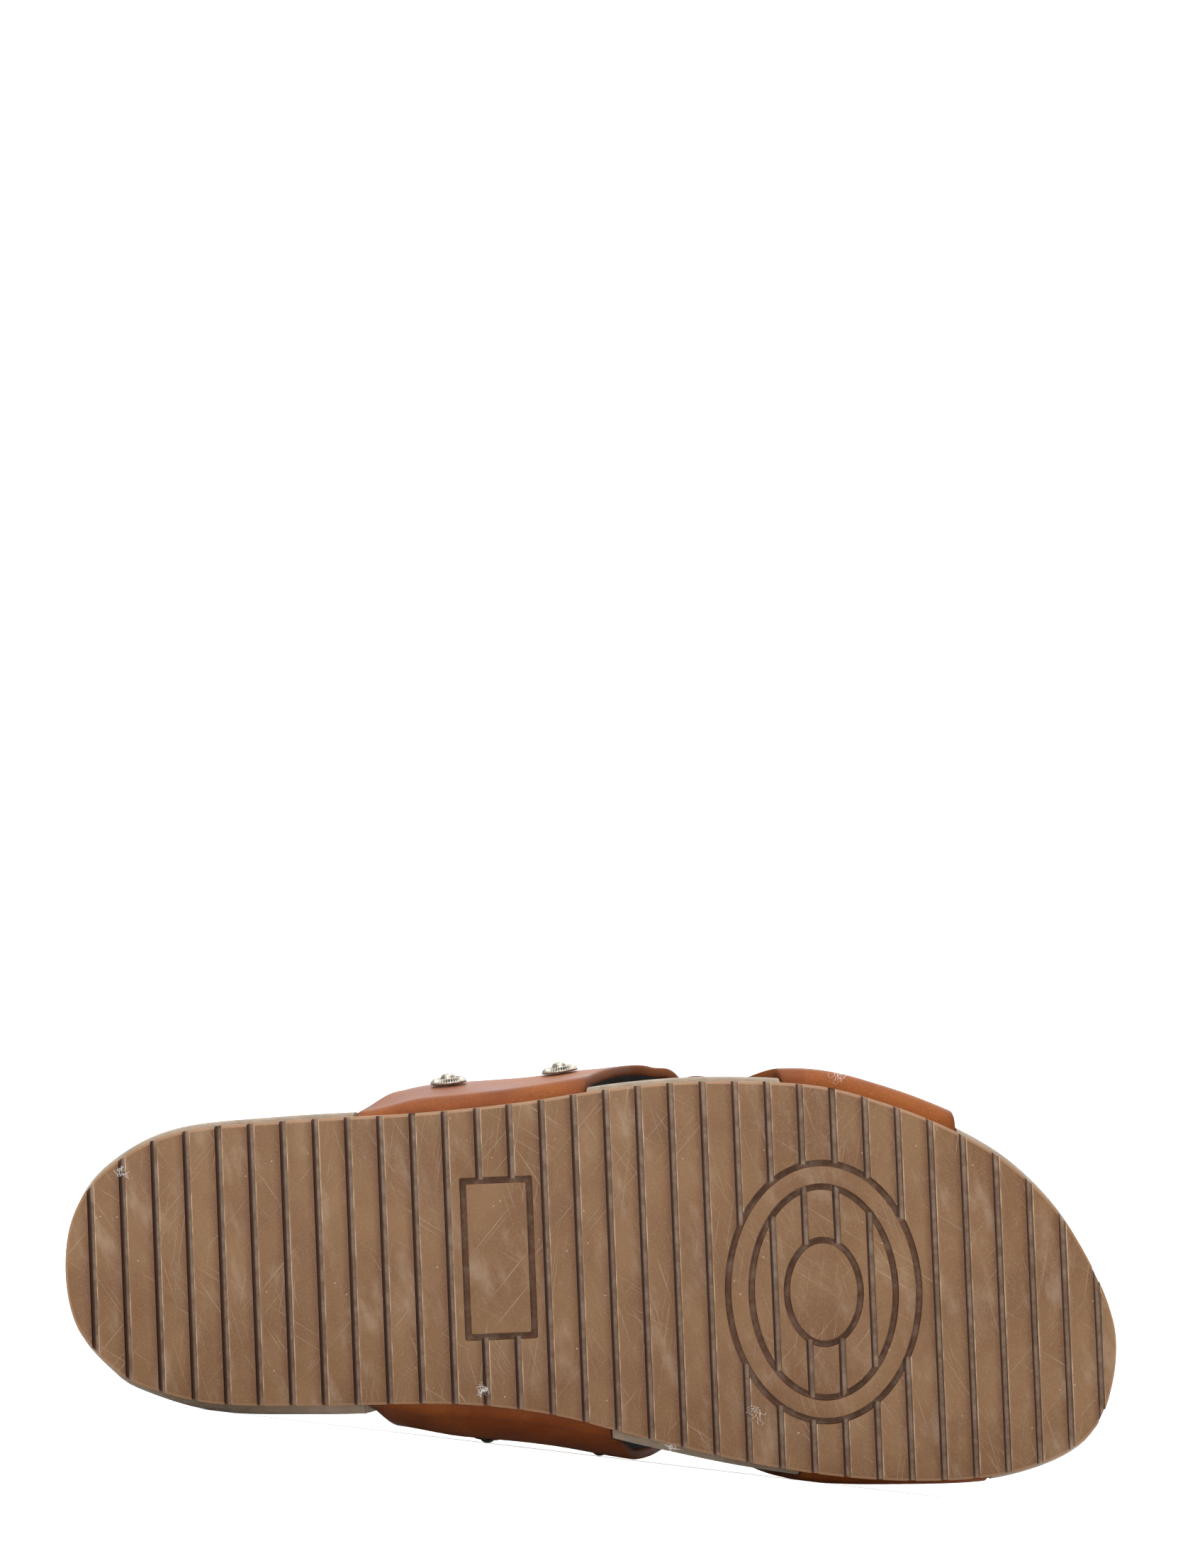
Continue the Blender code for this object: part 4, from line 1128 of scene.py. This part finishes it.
def make_stud(name, side, along, height, metal):
    """A turned stud with a fluted ring and a small pointed ball.

    A row of its profile holds how fluted it is, its radius, its height and how dark it is.
    """
    radius = STUD_DIAMETER / 2
    ball = 1.15 * BALL_DIAMETER / 2
    bead = STUD_PLATE + 0.34 * (STUD_HEIGHT - STUD_PLATE)
    around = FLUTES * FLUTE_STEPS
    profile = [(0.0, radius * 0.97, 0.0, 0.0), (0.0, radius, 0.25 * STUD_PLATE, 0.0),
               (0.0, radius, 0.60 * STUD_PLATE, 0.0), (0.2, 0.975 * radius, 0.80 * STUD_PLATE, 0.3)]
    for step in range(7):
        share = step / 6
        profile.append((math.sin(math.pi * blend(0.15, 0.92, share)), blend(0.955, 0.70, share) * radius,
                        blend(0.95 * STUD_PLATE, bead, math.sin(0.5 * math.pi * share)), 0.0))
    profile += [(0.0, 0.66 * radius, 0.96 * bead, 0.1), (0.0, 0.58 * radius, 0.80 * bead, 0.9),
                (0.0, 0.48 * radius, 0.82 * bead, 0.7), (0.0, 1.10 * ball, 0.90 * bead, 0.5)]
    for step in range(1, 9):
        angle = 0.5 * math.pi * step / 9
        profile.append((0.0, ball * math.cos(angle) ** 0.8,
                        bead + (0.94 * STUD_HEIGHT - bead) * math.sin(angle), 0.0))
    profile.append((0.0, 0.10 * ball, 0.985 * STUD_HEIGHT, 0.0))
    bm = bmesh.new()
    layer = bm.verts.layers.float.new("hollow")
    rings = []
    for fluted, r, z, dark in profile:
        ring = []
        for k in range(around):
            angle = 2 * math.pi * k / around
            wave = 0.5 + 0.5 * math.cos(angle * FLUTES)
            low = fluted * (1.0 - wave) * FLUTE_DEPTH
            reach = r - 0.6 * low
            vert = bm.verts.new((reach * math.cos(angle), reach * math.sin(angle), z - low))
            # Darker in the flute valleys and round the ball's foot: painted shade, with some antique patina
            vert[layer] = max(dark, fluted * (1.0 - wave) * 0.85)
            ring.append(vert)
        rings.append(ring)
    tip = bm.verts.new((0.0, 0.0, STUD_HEIGHT))
    bm.faces.new(rings[0][::-1])
    add_tube(bm, rings)
    for k in range(around):
        bm.faces.new((rings[-1][k], rings[-1][(k + 1) % around], tip))
    spot, normal = stud_place(side, along, height)
    facing = Vector((0.0, 0.0, 1.0)).rotation_difference(normal).to_matrix().to_4x4()
    bm.transform(Matrix.Translation(spot) @ facing)
    return link(name + "_turned", bm, [metal])


# Lint that clings to the sole: place in the shoe's frame, spread, and the number of fibres
LINT = (
    (0.1100, 0.0358, -0.0003, 0.0016, 26),
    (0.1595, 0.0527, 0.0006, 0.0020, 18),
    (0.2080, -0.0440, 0.0060, 0.0022, 16),
    (0.1820, 0.0440, -0.0003, 0.0030, 9),
    (0.0157, -0.0255, -0.0001, 0.0018, 16),
)
FIBRE_RADIUS = 0.00003
FIBRE_STEPS = 9
LINT_SEED = 41


def make_lint():
    """Fine white fibres, each a thin curled tube."""
    rng = np.random.RandomState(LINT_SEED)
    n = Nodes("lint")
    n.set(Base_Color=n.mix(n.noise(500.0), *LINT_WHITE), Roughness=0.95)
    bm = bmesh.new()
    for x, y, z, spread, fibres in LINT:
        for _ in range(fibres):
            spot = np.array((x, y, z)) + rng.normal(0.0, 0.45, 3) * spread * np.array((0.7, 0.7, 0.10))
            heading = rng.normal(0.0, 1.0, 3) * np.array((1.0, 1.0, 0.15))
            rings = []
            for _ in range(FIBRE_STEPS):
                heading = heading / np.linalg.norm(heading)
                across = np.cross(heading, (0.0, 0.0, 1.0))
                across = across / max(np.linalg.norm(across), 0.01)
                over = np.cross(heading, across)
                rings.append([bm.verts.new(spot + FIBRE_RADIUS * (across * math.cos(a) + over * math.sin(a)))
                              for a in (0.0, 2.1, 4.2)])
                spot = spot + heading * spread * 0.16
                heading = heading + rng.normal(0.0, 0.55, 3) * np.array((1.0, 1.0, 0.12))
            add_tube(bm, rings)
            bm.faces.new(rings[0][::-1])
            bm.faces.new(rings[-1])
    lint = link("lint_fibres", bm, [n.material])
    lint.data.transform(SHOE)
    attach(lint, "root")


# Camera, light and floor

CAMERA_DISTANCE = 1.0
CAMERA_HEIGHT = 0.002
CAMERA_PAN = -0.54
CAMERA_PITCH = 6.95
CAMERA_ROLL = 6.78
CAMERA_LENS = 86.0
CAMERA_SHIFT = 0.13
CAMERA_AIM = (0.5 * SOLE_LENGTH, 0.005, 0.0)

# A floor that runs on flat behind the shoe, curves up and ends high
FLOOR_HALF = 30.0
FLOOR_REAR = 2.0
FLOOR_CURVE = 1.5
FLOOR_TOP = 6.0
FLOOR_STEPS = 12

# Soft lights: name, place, what each is aimed at, its two sides, and its power in watts
WORLD_STRENGTH = 0.45
LIGHTS = (
    ("ceiling", (0.0, 0.0, 4.5), (0.0, 0.0, 0.0), (7.0, 7.0), 190.0),
    ("top", (-0.1, -0.75, 1.45), (0.0, 0.0, 0.05), (1.0, 0.7), 12.5),
    ("front", (-0.50, -1.80, 0.70), (0.0, 0.0, 0.05), (0.35, 0.35), 11.0),
    ("low fill", (0.3, -1.5, 0.10), (0.0, 0.0, 0.02), (1.4, 0.12), 4.0),
    ("backdrop", (0.0, 1.2, 2.4), (0.0, 3.4, 1.0), (4.0, 1.0), 100.0),
    ("back fill", (0.3, 1.4, 1.1), (0.0, 0.0, 0.05), (1.2, 0.8), 5.0),
)


def add_camera():
    """A long lens almost at floor level, turned, tilted and rolled as the photo shows."""
    data = bpy.data.cameras.new("camera")
    data.sensor_fit = "VERTICAL"
    data.sensor_height = 36.0
    data.lens = CAMERA_LENS
    data.shift_y = CAMERA_SHIFT
    data.clip_start = 0.01
    camera = put("camera", data)
    middle = SHOE @ Vector(CAMERA_AIM)
    pan, pitch, roll = (math.radians(a) for a in (CAMERA_PAN, CAMERA_PITCH, CAMERA_ROLL))
    forward = Vector((math.sin(pan) * math.cos(pitch), math.cos(pan) * math.cos(pitch), math.sin(pitch)))
    right = forward.cross(Vector((0.0, 0.0, 1.0))).normalized()
    up = right.cross(forward)
    turned_right = right * math.cos(roll) + up * math.sin(roll)
    turned_up = up * math.cos(roll) - right * math.sin(roll)
    place = Matrix((turned_right, turned_up, -forward)).transposed().to_4x4()
    place.translation = Vector((middle.x, middle.y - CAMERA_DISTANCE, CAMERA_HEIGHT))
    camera.matrix_world = place
    bpy.context.scene.camera = camera


def add_stage():
    """A pale floor that curves up far behind the shoe."""
    n = Nodes("pale_floor")
    n.set(Base_Color=FLOOR_WHITE, Roughness=0.9)
    rows = [(-FLOOR_HALF, 0.0), (FLOOR_REAR, 0.0)]
    for step in range(1, FLOOR_STEPS + 1):
        angle = 0.5 * math.pi * step / FLOOR_STEPS
        rows.append((FLOOR_REAR + FLOOR_CURVE * math.sin(angle), FLOOR_CURVE * (1.0 - math.cos(angle))))
    rows.append((FLOOR_REAR + FLOOR_CURVE, FLOOR_TOP))
    bm = bmesh.new()
    lines = [[bm.verts.new((x, y, z)) for x in (-FLOOR_HALF, FLOOR_HALF)] for y, z in rows]
    for low, high in zip(lines, lines[1:]):
        bm.faces.new((low[0], low[1], high[1], high[0]))
    floor = link("floor", bm, [n.material])
    floor.data.shade_smooth()


def add_light():
    world = bpy.data.worlds.new("studio")
    world.use_nodes = True
    background = world.node_tree.nodes["Background"].inputs
    background["Color"].default_value = (1.0, 1.0, 1.0, 1.0)
    background["Strength"].default_value = WORLD_STRENGTH
    bpy.context.scene.world = world
    bpy.context.scene.view_settings.view_transform = "Standard"
    for name, place, aim, size, power in LIGHTS:
        data = bpy.data.lights.new(name, "AREA")
        data.shape = "RECTANGLE"
        data.size, data.size_y = size
        data.energy = power
        lamp = put(name, data)
        lamp.location = place
        lamp.rotation_euler = (Vector(aim) - Vector(place)).to_track_quat("-Z", "Y").to_euler()


def main():
    show(make_outsole(), "outsole", 40.0)
    midsole = make_midsole()
    cut_leg_recesses(midsole)
    show(midsole, "midsole")
    show(make_insole(), "insole")
    grain, inner_skin = leather(), lining()
    for strap in STRAPS:
        show(make_strap(strap, grain, inner_skin), "upper", 60.0)
    metal = old_nickel()
    for name, side, along, height in STUDS:
        show(make_stud(name, side, along, height, metal), name, 40.0)
    make_lint()
    add_stage()
    add_light()
    add_camera()


main()
